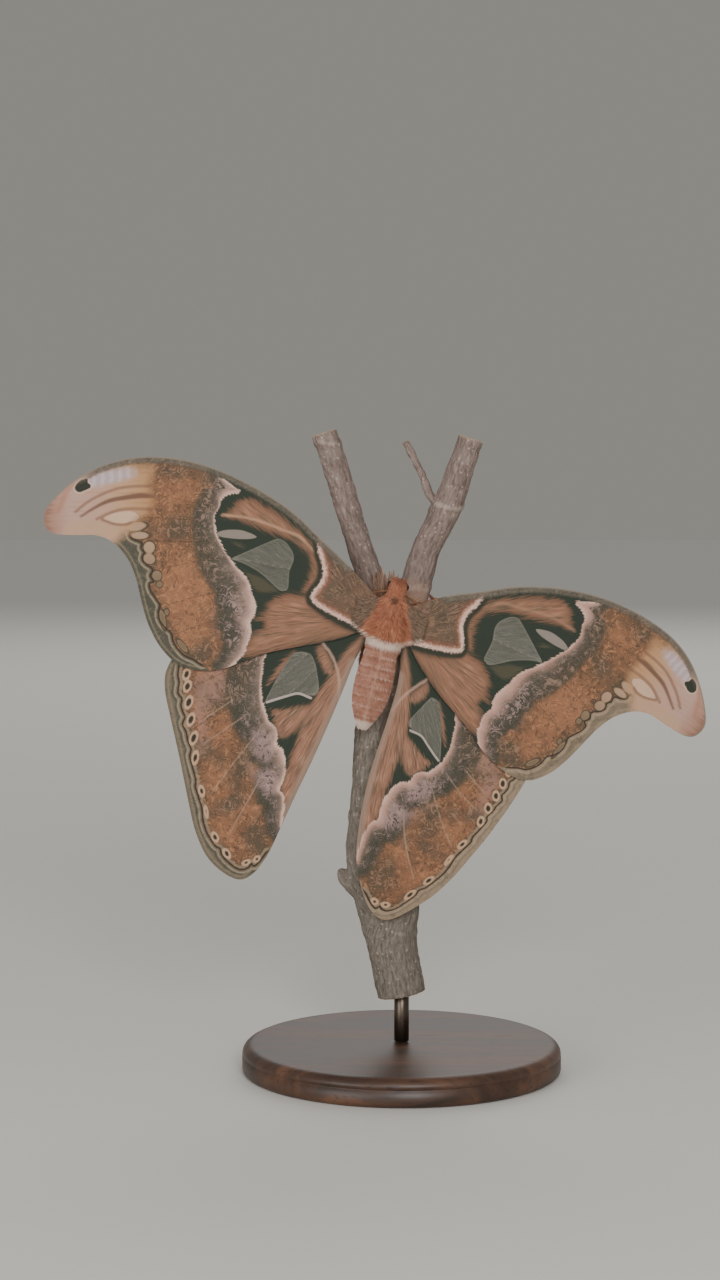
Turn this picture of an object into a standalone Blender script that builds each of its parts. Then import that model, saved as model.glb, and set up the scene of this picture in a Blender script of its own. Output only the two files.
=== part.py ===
"""An atlas moth at rest below the fork of a stem, as a life-size model on a plain display stand.

The moth's back faces -Y and its wings spread in the XZ plane. Every size is in millimetres and is
turned to metres where a mesh is made. A place on the wings is (across, up) from the middle of the
thorax, and "rise" is how far a point stands out of the wing plane, towards -Y.
"""

import math
import random

import bmesh
import bpy
import numpy as np
from mathutils import Vector, geometry

MM = 0.001
GAP = 0.3  # left between pieces that touch
SHARP_ANGLE = math.radians(50)

# Display stand: the origin is the middle of the base's underside
BASE_RADIUS = 56.0
BASE_HEIGHT = 10.0
BASE_BEVEL = 1.6
BASE_SHOULDER = (3.2, 3.4)  # how deep and how wide the rounded upper edge is
BASE_SIDES = 56
ROD_RADIUS = 2.6
THORAX_HEIGHT = 158.0
THORAX_ACROSS = -6.1  # the stem's foot, not the moth, stands over the middle of the base
STEM_FOOT_RISE = -17.0
STEM_FOOT_UP = -131.0

# Body: its long axis leans, head to the right, and passes this far beside the thorax's middle
BODY_LEAN = math.radians(14.3)
BODY_SHIFT = 1.2
THORAX_WIDTH = 6.5  # half sizes where it is stoutest
THORAX_DEPTH = 6.3
THORAX_WIDTHS = (  # (how far along the body, half width), from the head to the tail
    (11.4, 2.6), (10.2, 3.6), (8.0, 4.6), (4.5, 5.6), (1.0, 6.2), (-3.0, 6.5), (-6.0, 6.3), (-7.5, 5.9),
)
ABDOMEN_WIDTHS = (
    (-7.8, 5.6), (-12.0, 6.1), (-18.0, 6.8), (-24.0, 6.7), (-29.0, 5.5), (-33.0, 3.7), (-35.6, 1.9),
)
ABDOMEN_DEPTH_SHARE = 0.93
ABDOMEN_TIP = (1.95, 1.3, 1.8)
ABDOMEN_SEGMENTS = 8
SEGMENT_FOLD = 0.35
HEAD_CENTRE = 13.6
HEAD_SIZE = (2.9, 2.4, 2.9)
HEAD_RISE = -1.0
NECK_HALF_LENGTH = 2.0  # the block that cuts the back of the head flat, off the thorax
NECK_HALF_WIDTH = 8.0
PALP_PATH = ((0.8, 1.2, -1.6), (0.9, 2.4, -2.2), (0.7, 3.2, -2.2))  # from the head's middle
PALP_RADII = (0.7, 0.6, 0.3)
EYE_RADIUS = 1.25
EYE_PLACE = (2.55, 0.2, -0.4)  # from the head's middle

# Wings
WING_THICKNESS = 0.56
FOREWING_RISE = 3.0
HINDWING_RISE = 1.45
WING_SAG = 9.0  # how far the membrane falls back at WING_REACH from the body
WING_REACH = 118.0
VEIN_HEIGHT = 0.34
VEIN_WIDTHS = (0.95, 0.5)  # half widths at the root and at the margin
OUTLINE_STEP = 3.4
VEIN_STEP = 6.5
FILL_STEP = 7.5

# Left wings as they lie, seen from the front: margin from the front of the root, round to its back
FOREWING_MARGIN = (
    (-12.3, 20.3), (-21.2, 28.9), (-29.4, 36.9), (-38.0, 43.2), (-48.4, 49.1), (-59.1, 53.7),
    (-70.3, 56.5), (-80.7, 57.3), (-90.0, 56.2), (-98.5, 53.5), (-106.2, 49.2), (-113.0, 43.4),
    (-116.9, 38.2), (-116.6, 33.2), (-113.2, 30.9), (-106.0, 30.5), (-98.5, 30.4), (-92.6, 27.8),
    (-88.0, 22.6), (-85.1, 16.0), (-83.0, 7.2), (-80.6, -0.6), (-76.5, -8.0), (-70.8, -13.5),
    (-63.2, -15.7), (-55.2, -15.0), (-47.4, -11.9), (-38.0, -9.0), (-27.0, -6.9), (-16.5, -4.8),
)
HINDWING_MARGIN = (
    (-18.8, 1.0), (-35.8, 1.7), (-51.2, -1.0), (-63.1, -5.1), (-70.6, -9.2), (-74.8, -15.6),
    (-75.4, -22.4), (-73.7, -31.5), (-71.4, -42.0), (-69.4, -52.0), (-67.3, -63.0), (-65.2, -72.0),
    (-61.6, -80.2), (-56.2, -85.9), (-50.0, -88.6), (-44.8, -85.8), (-40.2, -79.4), (-35.6, -69.6),
    (-30.2, -57.8), (-24.6, -46.0), (-18.6, -32.5), (-14.2, -22.0), (-10.6, -13.0),
)
FOREWING_ROOT = (7.2, -2.6)  # where the root meets the thorax, along the body's axis
HINDWING_ROOT = (-2.8, -7.2)

FOREWING_VEINS = (
    ((-8.5, 11.0), (-22.0, 27.0), (-40.0, 42.0), (-60.0, 51.5), (-80.0, 55.4)),
    ((-9.5, 9.5), (-21.0, 20.5), (-36.0, 31.0), (-58.0, 40.0), (-82.0, 44.5), (-108.0, 45.0)),
    ((-36.0, 31.0), (-58.0, 35.0), (-84.0, 36.5), (-113.0, 34.5)),
    ((-36.0, 31.0), (-56.0, 28.5), (-74.0, 28.5), (-92.0, 29.0)),
    ((-31.0, 19.0), (-52.5, 22.6), (-70.0, 20.5), (-86.5, 17.0)),
    ((-33.5, 11.5), (-50.0, 12.0), (-67.0, 9.0), (-82.5, 3.5)),
    ((-9.5, 5.5), (-22.0, 9.0), (-33.5, 11.5), (-48.0, 4.5), (-63.0, 0.0), (-78.0, -5.5)),
    ((-22.0, 9.0), (-38.0, 1.5), (-54.0, -4.0), (-69.5, -12.0)),
    ((-9.5, 1.5), (-25.0, -1.0), (-42.0, -6.0), (-57.0, -13.0)),
)
HINDWING_VEINS = (
    ((-9.5, -3.0), (-28.0, -2.5), (-52.0, -6.0), (-73.0, -16.0)),
    ((-10.0, -5.0), (-26.0, -9.5), (-50.0, -14.5), (-73.5, -25.0)),
    ((-26.0, -9.5), (-41.5, -23.0), (-56.0, -30.0), (-70.8, -39.0)),
    ((-23.5, -15.0), (-41.0, -31.0), (-55.0, -41.0), (-68.5, -52.0)),
    ((-23.0, -22.0), (-38.0, -38.0), (-52.0, -52.0), (-66.0, -65.5)),
    ((-10.5, -8.0), (-18.0, -17.0), (-23.0, -22.0), (-36.5, -46.0), (-48.0, -62.0), (-60.0, -79.0)),
    ((-18.0, -17.0), (-30.0, -40.0), (-41.0, -62.0), (-51.0, -84.5)),
    ((-12.5, -15.0), (-22.0, -36.0), (-33.0, -58.0), (-42.5, -79.0)),
)

# The right wings are the left ones mirrored and swept back: each mark goes to its place on the right
FOREWING_SPREAD = (
    ((-12.3, 20.3), (21.0, 10.0)), ((-48.4, 49.1), (66.5, 11.3)), ((-80.1, 57.3), (96.2, -2.6)),
    ((-104.0, 50.4), (107.6, -19.4)), ((-117.0, 36.8), (109.6, -36.1)), ((-97.4, 30.3), (90.0, -30.5)),
    ((-81.3, 1.7), (63.4, -45.4)), ((-63.2, -15.7), (41.9, -51.0)), ((-52.1, -13.6), (32.7, -41.6)),
    ((-52.5, 22.9), (54.0, -12.6)), ((-44.0, 7.2), (38.9, -22.8)), ((-24.3, 9.3), (25.6, -8.0)),
    ((-27.0, -6.9), (17.5, -22.5)),
)
HINDWING_SPREAD = (
    ((-75.5, -17.4), (50.1, -49.1)), ((-68.8, -54.3), (34.1, -74.7)), ((-58.4, -83.8), (11.6, -97.4)),
    ((-42.3, -82.9), (-5.8, -97.7)), ((-35.5, -68.7), (-9.5, -80.1)), ((-26.4, -50.0), (-6.1, -54.4)),
    ((-15.4, -26.0), (1.2, -30.0)), ((-41.4, -27.3), (18.8, -47.7)), ((-24.8, -10.6), (15.3, -25.2)),
    ((-63.1, -5.1), (44.3, -35.1)), ((-35.8, 1.7), (22.8, -16.0)),
)

# Feelers and legs, in the body's own (side, along, rise)
ANTENNA_PATH = (
    (-1.9, 12.2, -3.4), (-3.6, 10.8, -4.2), (-7.6, 9.4, -3.6), (-12.0, 6.4, -2.6), (-16.0, 2.0, -2.2),
    (-19.0, -3.6, -2.4), (-20.6, -9.6, -3.0),
)
ANTENNA_RADII = (0.55, 0.28)
RAMI_PAIRS = 15
RAMUS_LENGTH = 4.2
RAMUS_RADII = (0.42, 0.14)
RAMUS_SLANT = 0.55  # how far a side branch leans towards the feeler's tip
LEG_ROOTS = {"front": 6.2, "middle": 1.6, "hind": -3.2}
LEG_GRIPS = {"front": 8.0, "middle": -8.5, "hind": -19.0}
LEG_RADII = (0.85, 0.8, 0.7, 0.6, 0.5, 0.36)
LEG_CLEARANCE = {"front": 0.75, "middle": 0.2, "hind": 0.05}  # beyond the gap, along the bark
HIP_SIDE = 2.8
HIP_DROP = 0.65
TOE_LENGTH = 1.6

# Perch: middle line (across, up, rise), then half width and half depth
STEM_LINE = (
    ((4.4, 4.0, -15.5), 6.0, 5.6), ((3.2, -6.0, -15.6), 6.5, 6.0), ((0.3, -20.0, -15.8), 6.5, 6.1),
    ((-3.4, -36.0, -15.9), 6.5, 6.1), ((-4.5, -51.5, -16.0), 6.4, 6.1), ((-5.8, -68.0, -16.2), 6.4, 6.2),
    ((-6.7, -81.0, -16.6), 6.7, 6.4), ((-3.8, -90.5, -17.2), 8.4, 7.2), ((1.0, -99.5, -17.6), 10.8, 8.2),
    ((1.9, -106.5, -17.6), 9.7, 8.0), ((2.8, -114.0, -17.3), 8.6, 7.7),
    ((4.6, -123.0, STEM_FOOT_RISE), 8.4, 7.6), ((6.1, STEM_FOOT_UP, STEM_FOOT_RISE), 8.3, 7.6),
)
KNOB_LINE = (
    ((-6.5, -97.0, -17.0), 2.6, 2.6), ((-10.4, -93.0, -16.6), 2.9, 2.7), ((-13.6, -89.6, -16.2), 2.6, 2.4),
    ((-14.9, -87.4, -16.0), 1.7, 1.6), ((-15.3, -86.4, -15.9), 0.8, 0.8),
)
LEFT_BRANCH_LINE = (
    ((3.4, -5.0, -15.4), 4.0, 4.0), ((-0.4, 6.0, -15.0), 4.3, 4.3), ((-5.9, 18.3, -14.4), 4.4, 4.4),
    ((-10.3, 31.4, -14.2), 4.2, 4.2), ((-16.4, 52.2, -14.2), 4.3, 4.3), ((-20.9, 65.5, -14.4), 4.2, 4.2),
)
RIGHT_BRANCH_LINE = (
    ((5.0, -5.0, -15.6), 4.4, 4.4), ((8.8, 4.5, -15.4), 5.0, 5.0), ((12.2, 18.3, -15.0), 5.1, 5.1),
    ((14.9, 26.5, -15.0), 4.7, 4.7), ((22.3, 41.8, -15.0), 4.9, 4.9), ((27.0, 55.5, -15.0), 4.4, 4.4),
    ((29.8, 63.5, -15.0), 4.3, 4.3),
)
SIDE_SHOOT_LINE = (
    ((21.0, 38.5, -14.3), 1.5, 1.5), ((16.0, 43.5, -13.6), 1.5, 1.5), ((13.2, 50.5, -13.2), 1.3, 1.3),
    ((10.2, 56.5, -13.2), 1.15, 1.15), ((7.2, 62.5, -13.4), 0.9, 0.9),
)
BRANCH_CUT = 22.0  # how far along a branch the fork ends and the branch's own piece begins
BARK_STEP = 5.6
BARK_ROUGHNESS = 0.035
SPLINTER_COUNT = 5
SPLINTER_FOOT = (-1.4, 7.6, -11.6)  # of the leftmost, with how far its tip stands from it
SPLINTER_REACH = (-2.2, 7.6, 1.6)
SPLINTER_SPREAD = (3.4, 3.0)  # how far apart the first and last are at the foot, and more at the tip
SPLINTER_WIDTHS = (1.1, 0.9, 0.25)
SPLINTER_DEPTHS = (0.8, 0.55, 0.2)


def clear_scene():
    for obj in list(bpy.data.objects):
        bpy.data.objects.remove(obj, do_unlink=True)


def plain_material(name, colour, roughness=0.8, metallic=0.0):
    material = bpy.data.materials.new(name)
    material.use_nodes = True
    shader = material.node_tree.nodes["Principled BSDF"]
    shader.inputs["Base Color"].default_value = (*colour, 1.0)
    shader.inputs["Roughness"].default_value = roughness
    shader.inputs["Metallic"].default_value = metallic
    return material


def in_world(across, up, rise):
    """A place by the wing plane, in millimetres of the world."""
    return Vector((THORAX_ACROSS + across, STEM_FOOT_RISE - rise, THORAX_HEIGHT + up))


def from_body(side, along, rise):
    """A place by the leaning body: side is to the right, along is towards the head."""
    across = BODY_SHIFT + side * math.cos(BODY_LEAN) + along * math.sin(BODY_LEAN)
    up = along * math.cos(BODY_LEAN) - side * math.sin(BODY_LEAN)
    return (across, up, rise)


def body_point(side, along, rise):
    return in_world(*from_body(side, along, rise))


def smooth_line(points, step):
    """Points at most `step` apart on a smooth curve through the given points."""
    given = np.array(points, float)
    given = np.vstack([2 * given[0] - given[1], given, 2 * given[-1] - given[-2]])
    found = []
    for a, b, c, d in zip(given, given[1:], given[2:], given[3:]):
        slope = c - a
        bend = 2 * a - 5 * b + 4 * c - d
        twist = 3 * (b - c) + d - a
        count = max(1, math.ceil(np.linalg.norm(c - b) / step))
        for t in np.arange(count) / count:
            found.append(b + 0.5 * (slope * t + bend * t**2 + twist * t**3))
    found.append(given[-2])
    return np.array(found)


def graded(table, key):
    """The value for `key` in a table of (key, value) rows whose keys fall."""
    keys = [row[0] for row in table][::-1]
    values = [row[1] for row in table][::-1]
    return float(np.interp(key, keys, values))


def round_off(mesh):
    """Smooth shading, with sharp edges kept."""
    mesh.shade_smooth()
    mesh.set_sharp_from_angle(angle=SHARP_ANGLE)


def add_node(name, points, faces, material):
    """A mesh object from points in world millimetres."""
    mesh = bpy.data.meshes.new(name)
    mesh.from_pydata([tuple(Vector(p) * MM) for p in points], [], faces)
    mesh.validate()
    round_off(mesh)
    mesh.materials.append(material)
    node = bpy.data.objects.new(name, mesh)
    bpy.context.scene.collection.objects.link(node)
    return node


def ring_skin(rings):
    """Faces of a closed skin over rings of equal size that run on from each other."""
    size = len(rings[0])
    points = [point for ring in rings for point in ring]
    faces = [tuple(range(size))[::-1]]
    for low in range(0, size * (len(rings) - 1), size):
        for i in range(size):
            j = (i + 1) % size
            faces.append((low + i, low + j, low + size + j, low + size + i))
    faces.append(tuple(range(size * (len(rings) - 1), size * len(rings))))
    return points, faces


def turned_outward(points, faces):
    """The faces, all reversed if together they enclose a negative volume."""
    volume = 0.0
    for face in faces:
        first = Vector(points[face[0]])
        for b, c in zip(face[1:], face[2:]):
            volume += first.dot(Vector(points[b]).cross(Vector(points[c])))
    return faces if volume > 0 else [face[::-1] for face in faces]


def rings_along(path, half_widths, half_depths, sides, unevenness=0.0, phase=0.0):
    """Rings square to a path of world points, with bark-like unevenness that depends only on place."""
    path = [Vector(p) for p in path]
    rings = []
    side = None
    for i, middle in enumerate(path):
        ahead = (path[min(i + 1, len(path) - 1)] - path[max(i - 1, 0)]).normalized()
        front = Vector((0.0, -1.0, 0.0)) if side is None else side
        front = (front - ahead * front.dot(ahead)).normalized()
        side = front
        across = ahead.cross(front)
        ring = []
        for k in range(sides):
            angle = math.tau * k / sides
            bumps = math.sin(3 * angle + 0.31 * middle.z + phase) + math.sin(5 * angle - 0.53 * middle.z)
            swell = 1 + unevenness * bumps
            ring.append(
                middle
                + across * (half_widths[i] * swell * math.cos(angle))
                + front * (half_depths[i] * swell * math.sin(angle))
            )
        rings.append(ring)
    return rings


def limb_rings(line, sides, step, phase=0.0):
    """Rings along a bark-covered limb given as rows of ((across, up, rise), half width, half depth)."""
    rows = smooth_line([(*place, wide, deep) for place, wide, deep in line], step)
    path = [in_world(*row[:3]) for row in rows]
    return rings_along(path, rows[:, 3], rows[:, 4], sides, BARK_ROUGHNESS, phase)


def tube(path, radii, sides):
    """Points and faces of a closed round tube along world points."""
    points, faces = ring_skin(rings_along(path, radii, radii, sides))
    return points, turned_outward(points, faces)


def largest_surface(mesh):
    """Keeps the largest closed surface of a mesh."""
    work = bmesh.new()
    work.from_mesh(mesh)
    unseen = set(work.verts)
    groups = []
    while unseen:
        queue = [unseen.pop()]
        group = set(queue)
        while queue:
            for edge in queue.pop().link_edges:
                for vert in edge.verts:
                    if vert in unseen:
                        unseen.discard(vert)
                        group.add(vert)
                        queue.append(vert)
        groups.append(group)
    keep = max(groups, key=len)
    bmesh.ops.delete(work, geom=[v for v in work.verts if v not in keep], context="VERTS")
    bmesh.ops.triangulate(work, faces=work.faces)
    work.to_mesh(mesh)
    work.free()


def fuse(node, shapes, operation="UNION"):
    """Joins closed shapes, given as (points, faces), to a node or cuts them out of it."""
    helpers = bpy.data.collections.new(node.name + "_shapes")
    for points, faces in shapes:
        piece = add_node(node.name + "_piece", points, turned_outward(points, faces), node.data.materials[0])
        bpy.context.scene.collection.objects.unlink(piece)
        helpers.objects.link(piece)
    bpy.context.scene.collection.children.link(helpers)
    change = node.modifiers.new("Fuse", "BOOLEAN")
    change.operation = operation
    change.operand_type = "COLLECTION"
    change.collection = helpers
    change.solver = "EXACT"
    graph = bpy.context.evaluated_depsgraph_get()
    fused = bpy.data.meshes.new_from_object(node.evaluated_get(graph))
    node.modifiers.remove(change)
    node.data = fused
    for piece in list(helpers.objects):
        bpy.data.objects.remove(piece, do_unlink=True)
    bpy.data.collections.remove(helpers)
    largest_surface(fused)
    round_off(fused)
    return node


def ball(centre, sizes, turn_along=0.0, rings=8, sides=12):
    """A closed ellipsoid at a world point: half sizes across, along and in depth, turned by an angle."""
    rows = []
    for i in range(1, rings):
        polar = math.pi * i / rings
        row = []
        for k in range(sides):
            angle = math.tau * k / sides
            across = sizes[0] * math.sin(polar) * math.cos(angle)
            depth = sizes[2] * math.sin(polar) * math.sin(angle)
            along = sizes[1] * math.cos(polar)
            x = across * math.cos(turn_along) + along * math.sin(turn_along)
            z = along * math.cos(turn_along) - across * math.sin(turn_along)
            row.append(Vector(centre) + Vector((x, -depth, z)))
        rows.append(row)
    points = [p for row in rows for p in row]
    pole = Vector((math.sin(turn_along), 0, math.cos(turn_along))) * sizes[1]
    top = len(points)
    points += [Vector(centre) + pole, Vector(centre) - pole]
    faces = []
    for i in range(rings - 2):
        for k in range(sides):
            j = (k + 1) % sides
            faces.append((i * sides + k, i * sides + j, (i + 1) * sides + j, (i + 1) * sides + k))
    last = (rings - 2) * sides
    for k in range(sides):
        j = (k + 1) % sides
        faces.append((top, j, k))
        faces.append((top + 1, last + k, last + j))
    return points, turned_outward(points, faces)


# Body


def body_rings(widths, depth_share, sides, step, fold=lambda along: 0.0):
    """Rings of the thorax or abdomen, square to the body's axis."""
    rings = []
    for along, wide in smooth_line(widths, step):
        wide = wide - fold(along)
        deep = wide * depth_share
        ring = []
        for k in range(sides):
            angle = math.tau * k / sides
            ring.append(body_point(wide * math.cos(angle), along, deep * math.sin(angle)))
        rings.append(ring)
    return rings


def make_thorax(material):
    rings = body_rings(THORAX_WIDTHS, THORAX_DEPTH / THORAX_WIDTH, sides=20, step=2.0)
    points, faces = ring_skin(rings)
    return add_node("thorax", points, turned_outward(points, faces), material)


def make_abdomen(material):
    front = ABDOMEN_WIDTHS[0][0]
    back = ABDOMEN_WIDTHS[-1][0]
    length = (front - back) / ABDOMEN_SEGMENTS

    def fold(along):
        """Each segment's rear edge stands over the narrower front of the next one."""
        part = ((front - along) / length) % 1.0
        return SEGMENT_FOLD * (1 - part) ** 3 if along < front - 0.5 * length else 0.0

    rings = body_rings(ABDOMEN_WIDTHS, ABDOMEN_DEPTH_SHARE, sides=18, fold=fold, step=1.25)
    points, faces = ring_skin(rings)
    abdomen = add_node("abdomen", points, turned_outward(points, faces), material)
    tip = ball(body_point(0, back, 0), ABDOMEN_TIP, BODY_LEAN, rings=6, sides=12)
    return fuse(abdomen, [tip])


def head_point(side, along, rise):
    """A place given from the middle of the head."""
    return body_point(side, HEAD_CENTRE + along, HEAD_RISE + rise)


def eye_ball(side, radius):
    out, along, rise = EYE_PLACE
    return ball(head_point(side * out, along, rise), (radius,) * 3, rings=8, sides=12)


def make_head(material):
    points, faces = ball(head_point(0, 0, 0), HEAD_SIZE, BODY_LEAN, rings=10, sides=16)
    head = add_node("head", points, faces, material)
    palps = []
    for side in (-1, 1):
        path = [head_point(side * out, along, rise) for out, along, rise in PALP_PATH]
        palps.append(tube(path, PALP_RADII, 8))
    fuse(head, palps)
    thorax_front = THORAX_WIDTHS[0][0]
    neck = neck_block(thorax_front + GAP - NECK_HALF_LENGTH)
    return fuse(head, [eye_ball(-1, EYE_RADIUS + GAP), eye_ball(1, EYE_RADIUS + GAP), neck], "DIFFERENCE")


def neck_block(middle):
    """A closed block, square to the body's axis, round this place along it."""
    corners = ((-1, -1), (1, -1), (1, 1), (-1, 1))
    rings = []
    for end in (-1, 1):
        along = middle + end * NECK_HALF_LENGTH
        ring = [body_point(a * NECK_HALF_WIDTH, along, b * NECK_HALF_WIDTH) for a, b in corners]
        rings.append(ring)
    return ring_skin(rings)


def make_eye(name, side, material):
    points, faces = eye_ball(side, EYE_RADIUS)
    return add_node(name, points, faces, material)


def make_antenna(name, side, material):
    """A feeler with two rows of side branches, folded back under the wing."""
    line = smooth_line([(side * -a, b, c) for a, b, c in ANTENNA_PATH], 2.6)
    path = [body_point(*row) for row in line]
    radii = np.interp(np.arange(len(path)), (0, len(path) - 1), ANTENNA_RADII)
    points, faces = tube(path, radii, 6)
    antenna = add_node(name, points, faces, material)
    rami = []
    for i in range(RAMI_PAIRS):
        share = (i + 1.6) / (RAMI_PAIRS + 1.4)
        spot = share * (len(path) - 1)
        low = min(int(spot), len(path) - 2)
        root = path[low].lerp(path[low + 1], spot - low)
        ahead = (path[low + 1] - path[low]).normalized()
        out = ahead.cross(Vector((0, -1, 0))).normalized()
        length = RAMUS_LENGTH * math.sin(math.pi * min(1.0, share * 0.9 + 0.12)) ** 0.7
        for row in (-1, 1):
            reach = (out * row + ahead * RAMUS_SLANT).normalized()
            foot = root + ahead * 0.17 * row - reach * 0.1
            tip = root + reach * length + Vector((0, 0.35, 0))
            rami.append(tube([foot, tip], RAMUS_RADII, 4))
    return fuse(antenna, rami)


# Wings


def spread_map(pairs):
    """A smooth bending of the plane that carries each mark on the left to its place on the right."""
    source = np.array([left for left, _ in pairs], float)
    target = np.array([right for _, right in pairs], float)

    def bend(points):
        square = ((points[:, None] - source[None]) ** 2).sum(-1)
        return square * np.log(square + 1e-9)

    count = len(source)
    system = np.zeros((count + 3, count + 3))
    system[:count, :count] = bend(source)
    system[:count, count] = 1
    system[:count, count + 1 :] = source
    system[count:, :count] = system[:count, count:].T
    weights = np.linalg.solve(system, np.vstack([target, np.zeros((3, 2))]))

    def mapped(points):
        points = np.asarray(points, float)
        plain = np.hstack([np.ones((len(points), 1)), points])
        return bend(points) @ weights[:count] + plain @ weights[count:]

    return mapped


def wing_root(side, span, root_rise, count=4):
    """The root edge from its front to its back, as (across, up) just off the thorax's side."""
    lowest = (root_rise - WING_THICKNESS) * THORAX_WIDTH / THORAX_DEPTH
    found = []
    for along in np.linspace(*span, count):
        half = graded(THORAX_WIDTHS, along)
        chord = math.sqrt(half**2 - lowest**2)
        found.append(from_body(side * (chord + GAP + 0.1), along, 0)[:2])
    return found


def wing_outline(margin, span, root_rise):
    """The left wing's whole edge, clear of doubled points."""
    root = wing_root(-1, span, root_rise)
    edge = smooth_line([root[0], *margin, root[-1]], OUTLINE_STEP)
    return np.vstack([edge, np.array(root[1:-1][::-1])])


def wing_spread(pairs, span, root_rise):
    """The map to the right-hand wing, which also carries root to root."""
    roots = list(zip(wing_root(-1, span, root_rise), wing_root(1, span, root_rise)))
    return spread_map([*pairs, *roots])


def wing_rise(places, root_rise):
    """How far the membrane stands out at each place: highest at the body, falling back outwards."""
    from_axis = np.hypot(places[:, 0] - BODY_SHIFT, places[:, 1])
    return root_rise - WING_SAG * (from_axis / WING_REACH) ** 2


def vein_ridge(points, veins):
    """Height of the vein ridges at each point of the left wing."""
    height = np.zeros(len(points))
    for vein in veins:
        line = smooth_line(vein, 1.0)
        apart = np.linalg.norm(points[:, None] - line[None], axis=2)
        nearest = apart.argmin(axis=1)
        share = nearest / (len(line) - 1)
        half = VEIN_WIDTHS[0] + (VEIN_WIDTHS[1] - VEIN_WIDTHS[0]) * share
        tall = VEIN_HEIGHT * np.minimum(1.0, 4.0 * (1.04 - share))
        height = np.maximum(height, tall * np.clip(1 - apart.min(axis=1) / half, 0, 1))
    return height


def wing_plan(outline, veins):
    """The left wing's flat mesh: its edge, three lines of points along each vein, and a loose fill."""
    points = [tuple(p) for p in outline]
    edges = [(i, (i + 1) % len(outline)) for i in range(len(outline))]
    for vein in veins:
        line = smooth_line(vein, VEIN_STEP)
        along = np.gradient(line, axis=0)
        square = np.stack([-along[:, 1], along[:, 0]], axis=1) / np.linalg.norm(along, axis=1)[:, None]
        half = np.linspace(*VEIN_WIDTHS, len(line))[:, None]
        for offset in (-1, 0, 1):
            start = len(points)
            points += [tuple(p) for p in line + offset * half * square]
            edges += [(start + i, start + i + 1) for i in range(len(line) - 1)]
    placed = np.array(points)
    low = placed.min(axis=0)
    high = placed.max(axis=0)
    for row, z in enumerate(np.arange(low[1], high[1], FILL_STEP * 0.87)):
        for x in np.arange(low[0] + (row % 2) * FILL_STEP / 2, high[0], FILL_STEP):
            spot = np.array((x, z))
            clear = np.linalg.norm(placed - spot, axis=1).min() > FILL_STEP * 0.42
            if clear and inside(spot, outline):
                points.append((float(x), float(z)))
    found = geometry.delaunay_2d_cdt([Vector(p) for p in points], edges, [], 1, 1e-4)
    flat = np.array([tuple(v) for v in found[0]])
    triangles = []
    for face in found[2]:
        a, b, c = (flat[i] for i in face)
        area = (b[0] - a[0]) * (c[1] - a[1]) - (b[1] - a[1]) * (c[0] - a[0])
        triangles.append(tuple(face) if area > 0 else tuple(face)[::-1])
    return flat, triangles


def inside(spot, outline):
    """Whether a spot lies within a closed outline."""
    x, z = spot
    x0, z0 = outline.T
    x1, z1 = np.roll(outline, -1, axis=0).T
    crosses = (z0 > z) != (z1 > z)
    reach = x0 + (z - z0) / np.where(z1 == z0, 1e-9, z1 - z0) * (x1 - x0)
    return bool((crosses & (x < reach)).sum() % 2)


def make_wing(name, flat, triangles, ridge, root_rise, spread, material):
    """A membrane with its veins raised on both faces, split into triangles alike on both."""
    places = spread(flat) if spread else flat
    rise = wing_rise(places, root_rise)
    top = rise + WING_THICKNESS / 2 + ridge
    bottom = rise - WING_THICKNESS / 2 - ridge
    points = [in_world(*place, n) for place, n in zip(places, top)]
    points += [in_world(*place, n) for place, n in zip(places, bottom)]
    count = len(flat)
    faces = list(triangles)
    faces += [tuple(i + count for i in face[::-1]) for face in triangles]
    sides = {(face[i], face[(i + 1) % 3]) for face in triangles for i in range(3)}
    for a, b in sides:
        if (b, a) not in sides:
            faces.append((b, a, a + count))
            faces.append((b, a + count, b + count))
    return add_node(name, points, turned_outward(points, faces), material)


def make_wing_pair(kind, margin, root, veins, pairs, root_rise, material):
    """The left and right wing of a kind, from one plan."""
    flat, triangles = wing_plan(wing_outline(margin, root, root_rise), veins)
    ridge = vein_ridge(flat, veins)
    spread = wing_spread(pairs, root, root_rise)
    make_wing(kind + "_left", flat, triangles, ridge, root_rise, None, material)
    make_wing(kind + "_right", flat, triangles, ridge, root_rise, spread, material)


def make_wings(front, back):
    make_wing_pair(
        "forewing", FOREWING_MARGIN, FOREWING_ROOT, FOREWING_VEINS, FOREWING_SPREAD, FOREWING_RISE, front
    )
    make_wing_pair(
        "hindwing", HINDWING_MARGIN, HINDWING_ROOT, HINDWING_VEINS, HINDWING_SPREAD, HINDWING_RISE, back
    )


# Legs


def limb_at(line, up):
    """Middle (across, rise), half width and half depth of an upright limb at a height."""
    rows = sorted((place[1], place[0], place[2], wide, deep) for place, wide, deep in line)
    heights = [row[0] for row in rows]
    return tuple(float(np.interp(up, heights, [row[i] for row in rows])) for i in (1, 2, 3, 4))


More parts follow.
